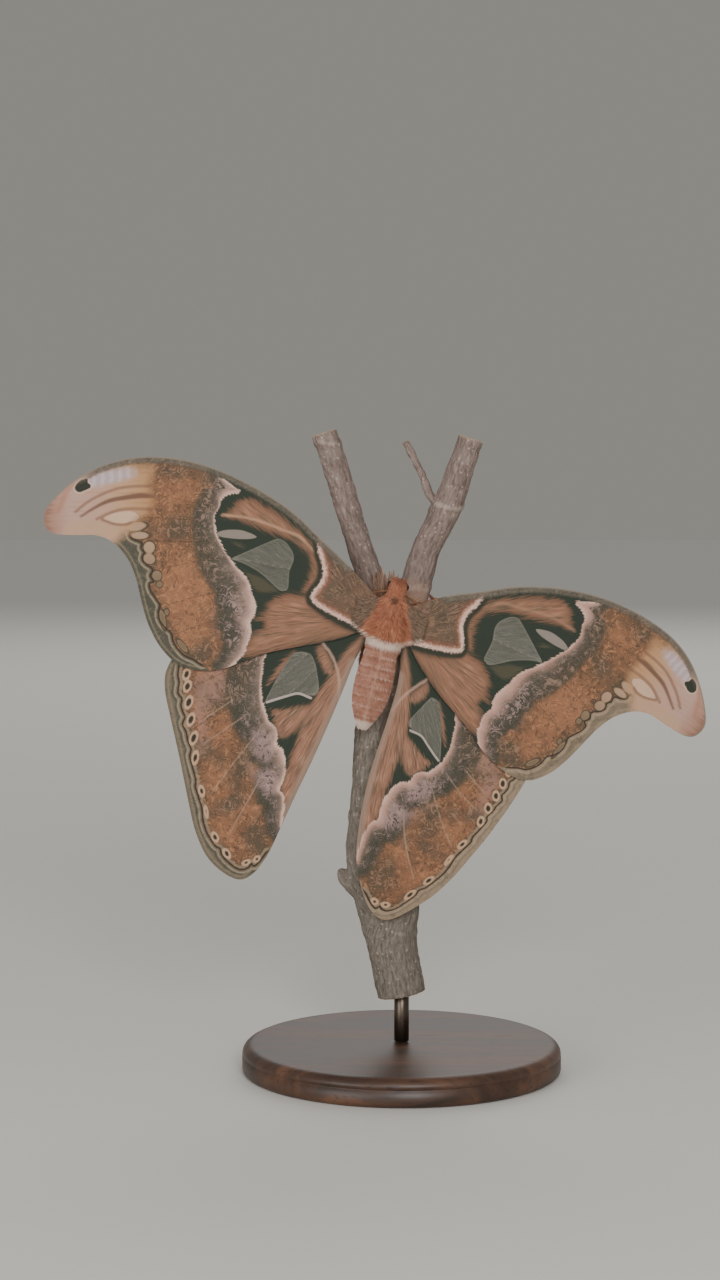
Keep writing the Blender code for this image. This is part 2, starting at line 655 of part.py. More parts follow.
def make_leg(name, side, pair, material):
    """A leg from the underside of the thorax, out to its knee and back to grip the stem or a branch."""
    along = LEG_ROOTS[pair]
    grip = LEG_GRIPS[pair]
    branch = LEFT_BRANCH_LINE if side < 0 else RIGHT_BRANCH_LINE
    across, rise, wide, deep = limb_at(branch if pair == "front" else STEM_LINE, grip)
    half = graded(THORAX_WIDTHS, along)
    under = -THORAX_DEPTH * half / THORAX_WIDTH * math.sqrt(1 - (HIP_SIDE / half) ** 2)
    hip = from_body(side * HIP_SIDE, along, under - GAP - HIP_DROP)
    lean = 0.5 * (grip - hip[1])
    off = wide * (1 + 2 * BARK_ROUGHNESS) + GAP + LEG_CLEARANCE[pair]
    coxa = (hip[0] + side * 0.9, hip[1] + 0.1 * lean, hip[2] - 0.7)
    knee = (hip[0] + side * 5.0, hip[1] + 0.7 * lean, hip[2] - 1.5)
    shin = (across + side * (off + 1.9), grip - 0.2 * lean, rise + 1.6)
    ankle = (across + side * (off + 0.75), grip, rise - 0.9)
    toe = (
        across + side * (off * 0.86 + 0.3),
        grip + math.copysign(TOE_LENGTH, lean),
        rise - deep * 0.62,
    )
    path = [in_world(*place) for place in (hip, coxa, knee, shin, ankle, toe)]
    middle = smooth_line([tuple(p) for p in path], 1.4)
    radii = np.interp(np.linspace(0, 1, len(middle)), np.linspace(0, 1, len(LEG_RADII)), LEG_RADII)
    points, faces = tube([Vector(p) for p in middle], radii, 7)
    return add_node(name, points, faces, material)


# Perch and stand


def open_rings(rings, start, end):
    """The rings whose distance along the limb lies between two lengths."""
    centres = [sum(ring, Vector()) / len(ring) for ring in rings]
    run = [0.0]
    for a, b in zip(centres, centres[1:]):
        run.append(run[-1] + (b - a).length)
    kept = []
    for i, ring in enumerate(rings[:-1]):
        for bound in (start, end):
            if run[i] < bound < run[i + 1]:
                share = (bound - run[i]) / (run[i + 1] - run[i])
                kept.append((bound, [a.lerp(b, share) for a, b in zip(ring, rings[i + 1])]))
        if start <= run[i] <= end:
            kept.append((run[i], ring))
    if run[-1] <= end:
        kept.append((run[-1], rings[-1]))
    kept.sort(key=lambda row: row[0])
    return [ring for _, ring in kept]


def splinters():
    """Torn bark that fans upwards in the crotch of the fork."""
    draw = random.Random(4)
    found = []
    for i in range(SPLINTER_COUNT):
        share = i / (SPLINTER_COUNT - 1)
        across, up, rise = SPLINTER_FOOT
        foot = (across + SPLINTER_SPREAD[0] * share, up, rise)
        tip = (
            foot[0] + SPLINTER_REACH[0] + SPLINTER_SPREAD[1] * share,
            up + SPLINTER_REACH[1] + draw.uniform(0, 2.6),
            rise + SPLINTER_REACH[2] + draw.uniform(-0.8, 0.4),
        )
        middle = [0.5 * (a + b) for a, b in zip(foot, tip)]
        path = [in_world(*place) for place in (foot, middle, tip)]
        points, faces = ring_skin(rings_along(path, SPLINTER_WIDTHS, SPLINTER_DEPTHS, 4))
        found.append((points, turned_outward(points, faces)))
    return found


def make_perch(material):
    stem_rings = limb_rings(STEM_LINE, 18, BARK_STEP)
    for point in stem_rings[-1]:
        point.z = THORAX_HEIGHT + STEM_FOOT_UP
    stem_points, stem_faces = ring_skin(stem_rings)
    stem = add_node("perch_stem", stem_points, turned_outward(stem_points, stem_faces), material)
    stubs = []
    for name, line, phase in (("left", LEFT_BRANCH_LINE, 1.0), ("right", RIGHT_BRANCH_LINE, 2.2)):
        rings = limb_rings(line, 14, BARK_STEP, phase)
        points, faces = ring_skin(open_rings(rings, 0.0, BRANCH_CUT))
        stubs.append((points, faces))
        points, faces = ring_skin(open_rings(rings, BRANCH_CUT + GAP + 0.1, 1e6))
        branch = add_node("perch_branch_" + name, points, turned_outward(points, faces), material)
        if name == "right":
            points, faces = ring_skin(limb_rings(SIDE_SHOOT_LINE, 8, 3.0))
            fuse(branch, [(points, faces)])
    knob = ring_skin(limb_rings(KNOB_LINE, 12, 2.4, 0.6))
    fuse(stem, [*stubs, *splinters(), knob])


def make_stand(wood, metal):
    shoulder_drop, shoulder_run = BASE_SHOULDER
    profile = (
        (BASE_RADIUS - BASE_BEVEL, 0.0),
        (BASE_RADIUS, BASE_BEVEL),
        (BASE_RADIUS, BASE_HEIGHT - shoulder_drop),
        (BASE_RADIUS - 0.35 * shoulder_run, BASE_HEIGHT - 0.44 * shoulder_drop),
        (BASE_RADIUS - shoulder_run, BASE_HEIGHT),
    )
    turn = [math.tau * k / BASE_SIDES for k in range(BASE_SIDES)]
    rings = []
    for radius, height in profile:
        rings.append([Vector((radius * math.cos(a), radius * math.sin(a), height)) for a in turn])
    points, faces = ring_skin(rings)
    add_node("stand_base", points, turned_outward(points, faces), wood)
    foot = BASE_HEIGHT + GAP
    top = THORAX_HEIGHT + STEM_FOOT_UP - GAP
    points, faces = tube([Vector((0, 0, foot)), Vector((0, 0, top))], (ROD_RADIUS, ROD_RADIUS), 24)
    add_node("stand_rod", points, faces, metal)


def main():
    clear_scene()
    rust = plain_material("rust_fur", (0.40, 0.14, 0.07), 0.95)
    salmon = plain_material("salmon_fur", (0.38, 0.19, 0.12), 0.95)
    eye = plain_material("dark_eye", (0.02, 0.012, 0.01), 0.25)
    horn = plain_material("feeler_brown", (0.30, 0.15, 0.08), 0.7)
    leg = plain_material("leg_brown", (0.28, 0.12, 0.07), 0.85)
    front_wing = plain_material("forewing_scales", (0.32, 0.16, 0.08), 0.85)
    back_wing = plain_material("hindwing_scales", (0.27, 0.14, 0.09), 0.85)
    bark = plain_material("pale_bark", (0.32, 0.23, 0.21), 0.9)
    wood = plain_material("dark_wood", (0.05, 0.028, 0.017), 0.45)
    metal = plain_material("dark_metal", (0.09, 0.085, 0.08), 0.35, 1.0)

    make_thorax(rust)
    make_head(rust)
    make_abdomen(salmon)
    for word, side in (("left", -1), ("right", 1)):
        make_eye("eye_" + word, side, eye)
        make_antenna("antenna_" + word, side, horn)
        for pair in LEG_ROOTS:
            make_leg(f"leg_{pair}_{word}", side, pair, leg)
    make_wings(front_wing, back_wing)
    make_perch(bark)
    make_stand(wood, metal)


main()
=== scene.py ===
# %% [markdown]
# # An atlas moth at rest below the fork of a stem
#
# The model is a life-size one, as a museum shows it: the moth's back faces the viewer, who stands at
# -Y, and its wings lie spread in one upright plane. Each cell below makes one piece or one finish.
# Every size is in millimetres and is turned to metres where a mesh is made. A place on the wings is
# (across, up) from the middle of the thorax, and "rise" is how far a point stands out of the wing
# plane, towards the viewer.

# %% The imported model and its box
import math

import bpy
import numpy as np
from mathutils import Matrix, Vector, geometry, noise


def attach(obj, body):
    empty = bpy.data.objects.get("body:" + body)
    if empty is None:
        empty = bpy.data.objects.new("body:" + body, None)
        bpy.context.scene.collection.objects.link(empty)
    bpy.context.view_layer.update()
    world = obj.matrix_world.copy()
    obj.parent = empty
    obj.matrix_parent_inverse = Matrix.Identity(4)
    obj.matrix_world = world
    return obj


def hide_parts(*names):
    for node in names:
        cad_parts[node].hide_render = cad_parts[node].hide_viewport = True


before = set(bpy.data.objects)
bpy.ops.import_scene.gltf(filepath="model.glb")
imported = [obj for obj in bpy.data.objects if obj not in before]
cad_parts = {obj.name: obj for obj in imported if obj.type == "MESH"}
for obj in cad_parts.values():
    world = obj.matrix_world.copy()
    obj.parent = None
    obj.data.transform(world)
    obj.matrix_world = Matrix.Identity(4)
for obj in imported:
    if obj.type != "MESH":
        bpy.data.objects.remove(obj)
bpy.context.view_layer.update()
MM = 0.001

# %% [markdown]
# ## Where things are
#
# The middle of the base's underside is the world's origin. The stem's foot stands over it, and the
# moth hangs a little to the left. The body leans, with its head to the right, so places on the body
# are given beside, along and out of its own axis.

# %% Shared places
THORAX_ACROSS = -6.1
THORAX_HEIGHT = 158.0
STEM_FOOT_RISE = -17.0
BODY_LEAN = math.radians(14.3)
BODY_SHIFT = 1.2


def in_world(places, rise):
    """World millimetres for rows of (across, up) and how far each stands out."""
    places = np.asarray(places, float)
    depth = STEM_FOOT_RISE - np.broadcast_to(rise, len(places))
    return np.column_stack([THORAX_ACROSS + places[:, 0], depth, THORAX_HEIGHT + places[:, 1]])


def from_body(side, along, rise=0.0):
    """(across, up, rise) of a place by the leaning body: along runs towards the head."""
    across = BODY_SHIFT + side * math.cos(BODY_LEAN) + along * math.sin(BODY_LEAN)
    up = along * math.cos(BODY_LEAN) - side * math.sin(BODY_LEAN)
    return across, up, rise


def smooth_line(points, step):
    """Points at most `step` apart on a smooth curve through the given points."""
    given = np.array(points, float)
    given = np.vstack([2 * given[0] - given[1], given, 2 * given[-1] - given[-2]])
    found = []
    for a, b, c, d in zip(given, given[1:], given[2:], given[3:]):
        slope = c - a
        bend = 2 * a - 5 * b + 4 * c - d
        twist = 3 * (b - c) + d - a
        count = max(1, math.ceil(np.linalg.norm(c - b) / step))
        for t in np.arange(count) / count:
            found.append(b + 0.5 * (slope * t + bend * t**2 + twist * t**3))
    found.append(given[-2])
    return np.array(found)


def placed(name, data):
    """A new object in the scene."""
    made = bpy.data.objects.new(name, data)
    bpy.context.scene.collection.objects.link(made)
    return made


# %% [markdown]
# ## Camera
#
# The photograph looks straight at the spread wings from a little above, about a metre away. The
# frame is upright and 436 mm tall where the wings are, so the lens follows from the distance: a
# sensor 36 mm tall is to the lens what those 436 mm are to the distance.

# %% The camera
VIEW_MIDDLE = (-8.5, -5.1)
VIEW_DISTANCE = 880.0
VIEW_ELEVATION = math.radians(4.0)
VIEW_HEIGHT = 436.5
SENSOR_HEIGHT = 36.0

target = Vector(in_world([VIEW_MIDDLE], 1.0)[0])
back_off = Vector((0.0, -math.cos(VIEW_ELEVATION), math.sin(VIEW_ELEVATION))) * VIEW_DISTANCE
camera_data = bpy.data.cameras.new("camera")
camera_data.sensor_width = SENSOR_HEIGHT
camera_data.lens = SENSOR_HEIGHT * VIEW_DISTANCE / VIEW_HEIGHT
camera_data.clip_start = 0.01
camera = placed("camera", camera_data)
camera.location = (target + back_off) * MM
camera.rotation_euler = (-back_off).to_track_quat("-Z", "Y").to_euler()
bpy.context.scene.camera = camera
print("lens in mm:", round(camera_data.lens, 1))

# %% [markdown]
# ## Words for finishes
#
# A wing's pattern is drawn by nodes that compare distances: how far a spot is from a line, a pane or
# the edge. A small class keeps that readable. `mark` reads a number that the mesh carries, `rise`
# and `stripe` turn it into a soft-edged mask, and `over` lays one colour over another.


# %% The paintbox
def tone(red, green, blue):
    """A colour of 0 to 255 as seen on a screen, in the linear light that shaders use."""
    shares = [c / 255 for c in (red, green, blue)]
    return (*(s / 12.92 if s <= 0.04045 else ((s + 0.055) / 1.055) ** 2.4 for s in shares), 1.0)


class Paintbox:
    """Short words for the nodes of one material or group. A colour of three numbers is one of 0 to
    255 as seen on a screen, and a colour of four is already linear."""

    def __init__(self, tree):
        self.tree = tree

    def feed(self, socket, value):
        if isinstance(value, bpy.types.NodeSocket):
            self.tree.links.new(value, socket)
        elif socket.type == "RGBA" and len(value) == 3:
            socket.default_value = tone(*value)
        else:
            socket.default_value = value

    def dress(self, node, **inputs):
        """Feed the named inputs of a node, with _ for the spaces in their names."""
        for key, value in inputs.items():
            self.feed(node.inputs[key.replace("_", " ")], value)

    def add(self, kind, inputs=None, **settings):
        node = self.tree.nodes.new(kind)
        for key, value in settings.items():
            setattr(node, key, value)
        for key, value in (inputs or {}).items():
            self.feed(node.inputs[key], value)
        return node

    def mark(self, name):
        """The number that the mesh carries under this name."""
        return self.add("ShaderNodeAttribute", attribute_name=name).outputs["Fac"]

    def place(self):
        """Where the shaded spot is, in metres."""
        return self.add("ShaderNodeTexCoord").outputs["Object"]

    def math(self, operation, *values):
        return self.add("ShaderNodeMath", dict(enumerate(values)), operation=operation).outputs[0]

    def chain(self, operation, values):
        total = values[0]
        for value in values[1:]:
            total = self.math(operation, total, value)
        return total

    def plus(self, *values):
        return self.chain("ADD", values)

    def minus(self, *values):
        return self.chain("SUBTRACT", values)

    def times(self, *values):
        return self.chain("MULTIPLY", values)

    def most(self, *values):
        return self.chain("MAXIMUM", values)

    def scaled(self, value, factor, offset):
        return self.math("MULTIPLY_ADD", value, factor, offset)

    def rise(self, value, start, end):
        """0 up to start and 1 from end, with a smooth way between; end may lie below start."""
        inputs = {"Value": value, "From Min": start, "From Max": end}
        return self.add("ShaderNodeMapRange", inputs, interpolation_type="SMOOTHSTEP").outputs["Result"]

    def stripe(self, value, low, high, soft=0.1):
        """1 between low and high, 0 outside."""
        return self.times(
            self.rise(value, low - soft, low + soft), self.rise(value, high + soft, high - soft)
        )

    def noise(self, place, size, detail=2.0, roughness=0.5, warp=0.0):
        """Soft random values round 0.5, in blots of this size in metres."""
        inputs = {"Vector": place, "Scale": 1 / size, "Detail": detail, "Roughness": roughness}
        inputs["Distortion"] = warp
        return self.add("ShaderNodeTexNoise", inputs).outputs[0]

    def stretched(self, scale):
        """The place, with its three sides scaled, for a grain that runs one way."""
        return self.add("ShaderNodeMapping", {"Vector": self.place(), "Scale": scale}).outputs[0]

    def shift(self, value, amount):
        """A random value of 0 to 1 made a push of this many units either way."""
        return self.scaled(value, 2 * amount, -amount)

    def over(self, mask, top, under):
        """One colour over another, as far as the mask lets it through."""
        node = self.add("ShaderNodeMix", data_type="RGBA")
        for index, value in ((0, mask), (6, under), (7, top)):
            self.feed(node.inputs[index], value)
        return node.outputs[2]

    def layers(self, colour, *coats):
        """Coats of paint over a first colour. Each is a colour and the masks that are multiplied to
        let it through."""
        for top, *masks in coats:
            colour = self.over(self.times(*masks), top, colour)
        return colour

    def ramp(self, value, stops):
        """A colour for a value of 0 to 1, from rows of (value, red, green, blue)."""
        node = self.add("ShaderNodeValToRGB", {0: value})
        elements = node.color_ramp.elements
        for index, (position, *colour) in ((0, stops[0]), (1, stops[-1])):
            elements[index].position = position
            elements[index].color = tone(*colour)
        for position, *colour in stops[1:-1]:
            elements.new(position).color = tone(*colour)
        return node.outputs[0]

    def joined(self, x, y, z=0.0):
        return self.add("ShaderNodeCombineXYZ", {0: x, 1: y, 2: z}).outputs[0]

    def vector(self, operation, inputs):
        return self.add("ShaderNodeVectorMath", inputs, operation=operation).outputs[0]

    def group(self, tree, **inputs):
        """The outputs of a placed node group."""
        node = self.add("ShaderNodeGroup", node_tree=tree)
        self.dress(node, **inputs)
        return node.outputs

    def bump(self, height, strength, distance):
        inputs = {"Height": height, "Strength": strength, "Distance": distance * MM}
        return self.add("ShaderNodeBump", inputs).outputs[0]


def new_finish(name, **values):
    """A material with its paintbox and its Principled shader, which is given these even values."""
    material = bpy.data.materials.new(name)
    material.use_nodes = True
    brush = Paintbox(material.node_tree)
    shader = material.node_tree.nodes["Principled BSDF"]
    brush.dress(shader, **values)
    return material, brush, shader


def finish_grain(name, stretch, size, stops, bump_strength, bump_depth, roughness):
    """A plain material whose colour and relief follow one grain."""
    material, brush, shader = new_finish(name, Roughness=roughness)
    grain = brush.noise(brush.stretched(stretch), size, 3.0)
    relief = brush.bump(grain, bump_strength, bump_depth)
    brush.dress(shader, Base_Color=brush.ramp(grain, stops), Normal=relief)
    return material


SOCKET_KINDS = {"place": "NodeSocketVector", "Colour": "NodeSocketColor"}


def new_group(name, inputs, outputs):
    """A node group whose sockets carry numbers, unless SOCKET_KINDS says more, and its paintbox."""
    tree = bpy.data.node_groups.new(name, "ShaderNodeTree")
    for way, keys in (("INPUT", inputs), ("OUTPUT", outputs)):
        for key in keys:
            kind = SOCKET_KINDS.get(key, "NodeSocketFloat")
            socket = tree.interface.new_socket(key, in_out=way, socket_type=kind)
            if way == "INPUT" and kind == "NodeSocketFloat":
                socket.default_value = inputs[key]
    brush = Paintbox(tree)
    start = brush.add("NodeGroupInput")
    end = brush.add("NodeGroupOutput")
    return tree, brush, start.outputs, end.inputs


# %% [markdown]
# ## Floor and light
#
# The set is plain: a wide pale floor that meets a pale sky of nearly its own tone. The photograph was
# lit from beside the lens, which throws short shadows of the wings onto the stem, so the main soft
# light hangs close to the camera, a little to its right. Two more shape the body from the left and
# keep the back of the model readable.

# %% The floor and the sky
FLOOR_WIDTH = 12000.0
FLOOR_TONE = tone(222, 219, 213)
SKY_TONE = tone(214, 213, 210)
SKY_STRENGTH = 0.55

floor_mesh = bpy.data.meshes.new("floor")
half = 0.5 * FLOOR_WIDTH * MM
floor_corners = [(-half, -half, 0), (half, -half, 0), (half, half, 0), (-half, half, 0)]
floor_mesh.from_pydata(floor_corners, [], [(0, 1, 2, 3)])
floor_mesh.materials.append(new_finish("pale_floor", Base_Color=FLOOR_TONE, Roughness=0.9)[0])
floor = placed("floor", floor_mesh)

world = bpy.data.worlds.new("studio")
world.use_nodes = True
sky_brush = Paintbox(world.node_tree)
seen_sky = tuple(f * s for f, s in zip(FLOOR_TONE, SKY_TONE))  # what the far floor sends to the camera
seen_directly = sky_brush.add("ShaderNodeLightPath").outputs["Is Camera Ray"]
sky = world.node_tree.nodes["Background"]
sky_brush.feed(sky.inputs["Color"], sky_brush.over(seen_directly, seen_sky, SKY_TONE))
sky.inputs["Strength"].default_value = SKY_STRENGTH
bpy.context.scene.world = world

# %% The lights
LIGHTS = {  # place in mm, size in mm, watts
    "key_light": ((150.0, -1180.0, 520.0), 420.0, 8.2),
    "side_light": ((-800.0, -950.0, 260.0), 700.0, 6.0),
    "back_light": ((200.0, 1900.0, 1500.0), 1800.0, 13.0),
}
for light_name, (light_place, light_size, light_watts) in LIGHTS.items():
    light_data = bpy.data.lights.new(light_name, "AREA")
    light_data.shape = "DISK"
    light_data.size = light_size * MM
    light_data.energy = light_watts
    light = placed(light_name, light_data)
    light.location = Vector(light_place) * MM
    light.rotation_euler = (target - Vector(light_place)).to_track_quat("-Z", "Y").to_euler()
print("lights:", ", ".join(LIGHTS))

# %% [markdown]
# ## Pieces
#
# Every piece of the moth is a closed mesh whose places are already world places, so its object stays
# at the origin. It rides on the model's one body and stands for the plain solids that it hides.


# %% One way to add a piece
SHARP_ANGLE = math.radians(70)


def add_piece(name, points, faces, finish, hides=(), marks=None):
    """A smooth mesh from points in millimetres, with the numbers that its finish reads."""
    mesh = bpy.data.meshes.new(name)
    mesh.from_pydata((np.asarray(points, float) * MM).tolist(), [], faces)
    for mark, values in (marks or {}).items():
        layer = mesh.attributes.new(mark, "FLOAT", "POINT")
        layer.data.foreach_set("value", np.asarray(values, np.float32))
    mesh.materials.append(finish)
    mesh.shade_smooth()
    mesh.set_sharp_from_angle(angle=SHARP_ANGLE)
    piece = placed(name, mesh)
    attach(piece, "root")
    if hides:
        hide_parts(*hides)
    print(name, len(mesh.polygons), "faces")
    return piece


# %% [markdown]
# ## Wings: the flat plan
#
# Both wings of a kind are one drawing. The left one is read as it lies, and the right one is the same
# drawing swept back, carried over by a smooth map from marks on the left to the same marks on the
# right. So the pattern is drawn once, on the left.

# %% Wing margins and roots
WING_THICKNESS = 0.56  # of the solids, whose roots these wings share
FOREWING_RISE = 3.0
HINDWING_RISE = 1.45
WING_SAG = 9.0
WING_REACH = 118.0
THORAX_WIDTH = 6.5
THORAX_DEPTH = 6.3
THORAX_WIDTHS = (
    (11.4, 2.6), (10.2, 3.6), (8.0, 4.6), (4.5, 5.6), (1.0, 6.2), (-3.0, 6.5), (-6.0, 6.3), (-7.5, 5.9),
)
GAP = 0.3
OUTLINE_STEP = 0.7
FOREWING_MARGIN = (
    (-12.3, 20.3), (-21.2, 28.9), (-29.4, 36.9), (-38.0, 43.2), (-48.4, 49.1), (-59.1, 53.7),
    (-70.3, 56.5), (-80.7, 57.3), (-90.0, 56.2), (-98.5, 53.5), (-106.2, 49.2), (-113.0, 43.4),
    (-116.9, 38.2), (-116.6, 33.2), (-113.2, 30.9), (-106.0, 30.5), (-98.5, 30.4), (-92.6, 27.8),
    (-88.0, 22.6), (-85.1, 16.0), (-83.0, 7.2), (-80.6, -0.6), (-76.5, -8.0), (-70.8, -13.5),
    (-63.2, -15.7), (-55.2, -15.0), (-47.4, -11.9), (-38.0, -9.0), (-27.0, -6.9), (-16.5, -4.8),
)
HINDWING_MARGIN = (
    (-18.8, 1.0), (-35.8, 1.7), (-51.2, -1.0), (-63.1, -5.1), (-70.6, -9.2), (-74.8, -15.6),
    (-75.4, -22.4), (-73.7, -31.5), (-71.4, -42.0), (-69.4, -52.0), (-67.3, -63.0), (-65.2, -72.0),
    (-61.6, -80.2), (-56.2, -85.9), (-50.0, -88.6), (-44.8, -85.8), (-40.2, -79.4), (-35.6, -69.6),
    (-30.2, -57.8), (-24.6, -46.0), (-18.6, -32.5), (-14.2, -22.0), (-10.6, -13.0),
)
FOREWING_ROOT = (7.2, -2.6)
HINDWING_ROOT = (-2.8, -7.2)


def graded(table, key):
    """The value for a key in rows of (key, value) whose keys fall."""
    rows = np.array(table)[::-1]
    return np.interp(key, rows[:, 0], rows[:, 1])


def wing_root(side, span, root_rise, count=4):
    """The root edge from its front to its back, just off the thorax's side."""
    lowest = (root_rise - WING_THICKNESS) * THORAX_WIDTH / THORAX_DEPTH
    found = []
    for along in np.linspace(*span, count):
        chord = math.sqrt(graded(THORAX_WIDTHS, along) ** 2 - lowest**2)
        found.append(from_body(side * (chord + GAP + 0.1), along)[:2])
    return found


def wing_outline(margin, span, root_rise):
    root = wing_root(-1, span, root_rise)
    edge = smooth_line([root[0], *margin, root[-1]], OUTLINE_STEP)
    return np.vstack([edge, smooth_line(root[::-1], OUTLINE_STEP)[1:-1]])


fore_outline = wing_outline(FOREWING_MARGIN, FOREWING_ROOT, FOREWING_RISE)
hind_outline = wing_outline(HINDWING_MARGIN, HINDWING_ROOT, HINDWING_RISE)
print("outline points:", len(fore_outline), len(hind_outline))

# %% The map to the right-hand wings
FOREWING_SPREAD = (
    ((-12.3, 20.3), (21.0, 10.0)), ((-48.4, 49.1), (66.5, 11.3)), ((-80.1, 57.3), (96.2, -2.6)),
    ((-104.0, 50.4), (107.6, -19.4)), ((-117.0, 36.8), (109.6, -36.1)), ((-97.4, 30.3), (90.0, -30.5)),
    ((-81.3, 1.7), (63.4, -45.4)), ((-63.2, -15.7), (41.9, -51.0)), ((-52.1, -13.6), (32.7, -41.6)),
    ((-52.5, 22.9), (54.0, -12.6)), ((-44.0, 7.2), (38.9, -22.8)), ((-24.3, 9.3), (25.6, -8.0)),
    ((-27.0, -6.9), (17.5, -22.5)),
)
HINDWING_SPREAD = (
    ((-75.5, -17.4), (50.1, -49.1)), ((-68.8, -54.3), (34.1, -74.7)), ((-58.4, -83.8), (11.6, -97.4)),
    ((-42.3, -82.9), (-5.8, -97.7)), ((-35.5, -68.7), (-9.5, -80.1)), ((-26.4, -50.0), (-6.1, -54.4)),
    ((-15.4, -26.0), (1.2, -30.0)), ((-41.4, -27.3), (18.8, -47.7)), ((-24.8, -10.6), (15.3, -25.2)),
    ((-63.1, -5.1), (44.3, -35.1)), ((-35.8, 1.7), (22.8, -16.0)),
)


def spread_map(pairs, span, root_rise):
    """A smooth bending of the plane that carries each mark, and the root, to its place on the right."""
    roots = zip(wing_root(-1, span, root_rise), wing_root(1, span, root_rise))
    source, target = (np.array(side, float) for side in zip(*pairs, *roots))

    def bend(points):
        square = ((points[:, None] - source[None]) ** 2).sum(-1)
        return square * np.log(square + 1e-9)

    count = len(source)
    system = np.zeros((count + 3, count + 3))
    system[:count, :count] = bend(source)
    system[:count, count] = 1
    system[:count, count + 1 :] = source
    system[count:, :count] = system[:count, count:].T
    weights = np.linalg.solve(system, np.vstack([target, np.zeros((3, 2))]))

    def mapped(points):
        plain = np.hstack([np.ones((len(points), 1)), points])
        return bend(points) @ weights[:count] + plain @ weights[count:]

    return mapped


# %% [markdown]
# ## Wings: measuring the plan
#
# The plan is filled with small even triangles. Each corner then learns how far it is from every line
# and shape of the pattern. Distances change smoothly, so a thin line drawn from them by the finish
# stays sharp, far finer than the triangles are.


# %% Distances to lines and shapes
CHUNK = 1500  # points measured at once
FAR = 99.0


def measure_line(points, line):
    """For each point: its distance to a line, with a minus sign on the line's right, and how far
    along the line, in millimetres, the nearest place lies."""
    start = line[:-1]
    span = line[1:] - start
    length = np.linalg.norm(span, axis=1)
    run = np.concatenate([[0.0], np.cumsum(length)])
    square_to = np.column_stack([-span[:, 1], span[:, 0]]) / length[:, None]
    corner = np.vstack([square_to[:1], square_to[:-1] + square_to[1:], square_to[-1:]])
    found = []
    for chunk in np.array_split(points, max(1, len(points) // CHUNK)):
        offset = chunk[:, None] - start[None]
        share = np.clip((offset * span).sum(-1) / length**2, 0, 1)
        gap = offset - share[..., None] * span
        best = (gap**2).sum(-1).argmin(axis=1)
        rows = np.arange(len(chunk))
        gap = gap[rows, best]
        share = share[rows, best]
        facing = corner[best] * (1 - share)[:, None] + corner[best + 1] * share[:, None]
        sign = np.where((gap * facing).sum(-1) < 0, -1.0, 1.0)
        away = np.linalg.norm(gap, axis=1) * sign
        found.append(np.column_stack([away, run[best] + share * length[best]]))
    return np.vstack(found).T


def within(points, outline):
    """Which points lie inside a closed outline."""
    x0, z0 = outline.T
    x1, z1 = np.roll(outline, -1, axis=0).T
    found = []
    for chunk in np.array_split(points, max(1, len(points) // CHUNK)):
        x, z = chunk[:, :1], chunk[:, 1:]
        crosses = (z0 > z) != (z1 > z)
        reach = x0 + (z - z0) / np.where(z1 == z0, 1e-9, z1 - z0) * (x1 - x0)
        found.append((crosses & (x < reach)).sum(axis=1) % 2 == 1)
    return np.concatenate(found)


def measure_shape(points, corners, step=0.6):
    """Distance to a rounded closed shape through the corners, below zero inside it."""
    outline = smooth_line([*corners, corners[0]], step)
    away = np.abs(measure_line(points, outline)[0])
    return np.where(within(points, outline[:-1]), -away, away)


def measure_ovals(points, ovals):
    """Distance to the nearest oval of (across, up, half width, half height, turn in degrees)."""
    found = np.full(len(points), FAR)
    for across, up, wide, tall, turn in ovals:
        offset = points - (across, up)
        c, s = math.cos(math.radians(turn)), math.sin(math.radians(turn))
        along = offset[:, 0] * c + offset[:, 1] * s
        athwart = offset[:, 1] * c - offset[:, 0] * s
        found = np.minimum(found, (np.hypot(along / wide, athwart / tall) - 1) * min(wide, tall))
    return found


# %% [markdown]
# ## Wings: the membrane
#
# A real wing is a film far thinner than a millimetre, stretched over hollow veins. The mesh is a
# closed film 0.3 mm thick, thinner at its edge, whose veins stand up on the upper face and are
# grooves on the lower one. It lies on the middle of the CAD wing: highest at the body, falling back
# towards the tips.

# %% Veins and film
FILL_STEP = 0.62
FILM_THICKNESS = 0.3
VEIN_HEIGHT = 0.22
VEIN_WIDTHS = (0.7, 0.35)
FURROW_DEPTH = 0.22
FOREWING_VEINS = (
    ((-8.5, 11.0), (-22.0, 27.0), (-40.0, 42.0), (-60.0, 51.5), (-80.0, 55.4)),
    ((-9.5, 9.5), (-21.0, 20.5), (-36.0, 31.0), (-58.0, 40.0), (-82.0, 44.5), (-108.0, 45.0)),
    ((-36.0, 31.0), (-58.0, 35.0), (-84.0, 36.5), (-113.0, 34.5)),
    ((-36.0, 31.0), (-56.0, 28.5), (-74.0, 28.5), (-92.0, 29.0)),
    ((-31.0, 19.0), (-52.5, 22.6), (-70.0, 20.5), (-86.5, 17.0)),
    ((-33.5, 11.5), (-50.0, 12.0), (-67.0, 9.0), (-82.5, 3.5)),
    ((-9.5, 5.5), (-22.0, 9.0), (-33.5, 11.5), (-48.0, 4.5), (-63.0, 0.0), (-78.0, -5.5)),
    ((-22.0, 9.0), (-38.0, 1.5), (-54.0, -4.0), (-69.5, -12.0)),
    ((-9.5, 1.5), (-25.0, -1.0), (-42.0, -6.0), (-57.0, -13.0)),
)
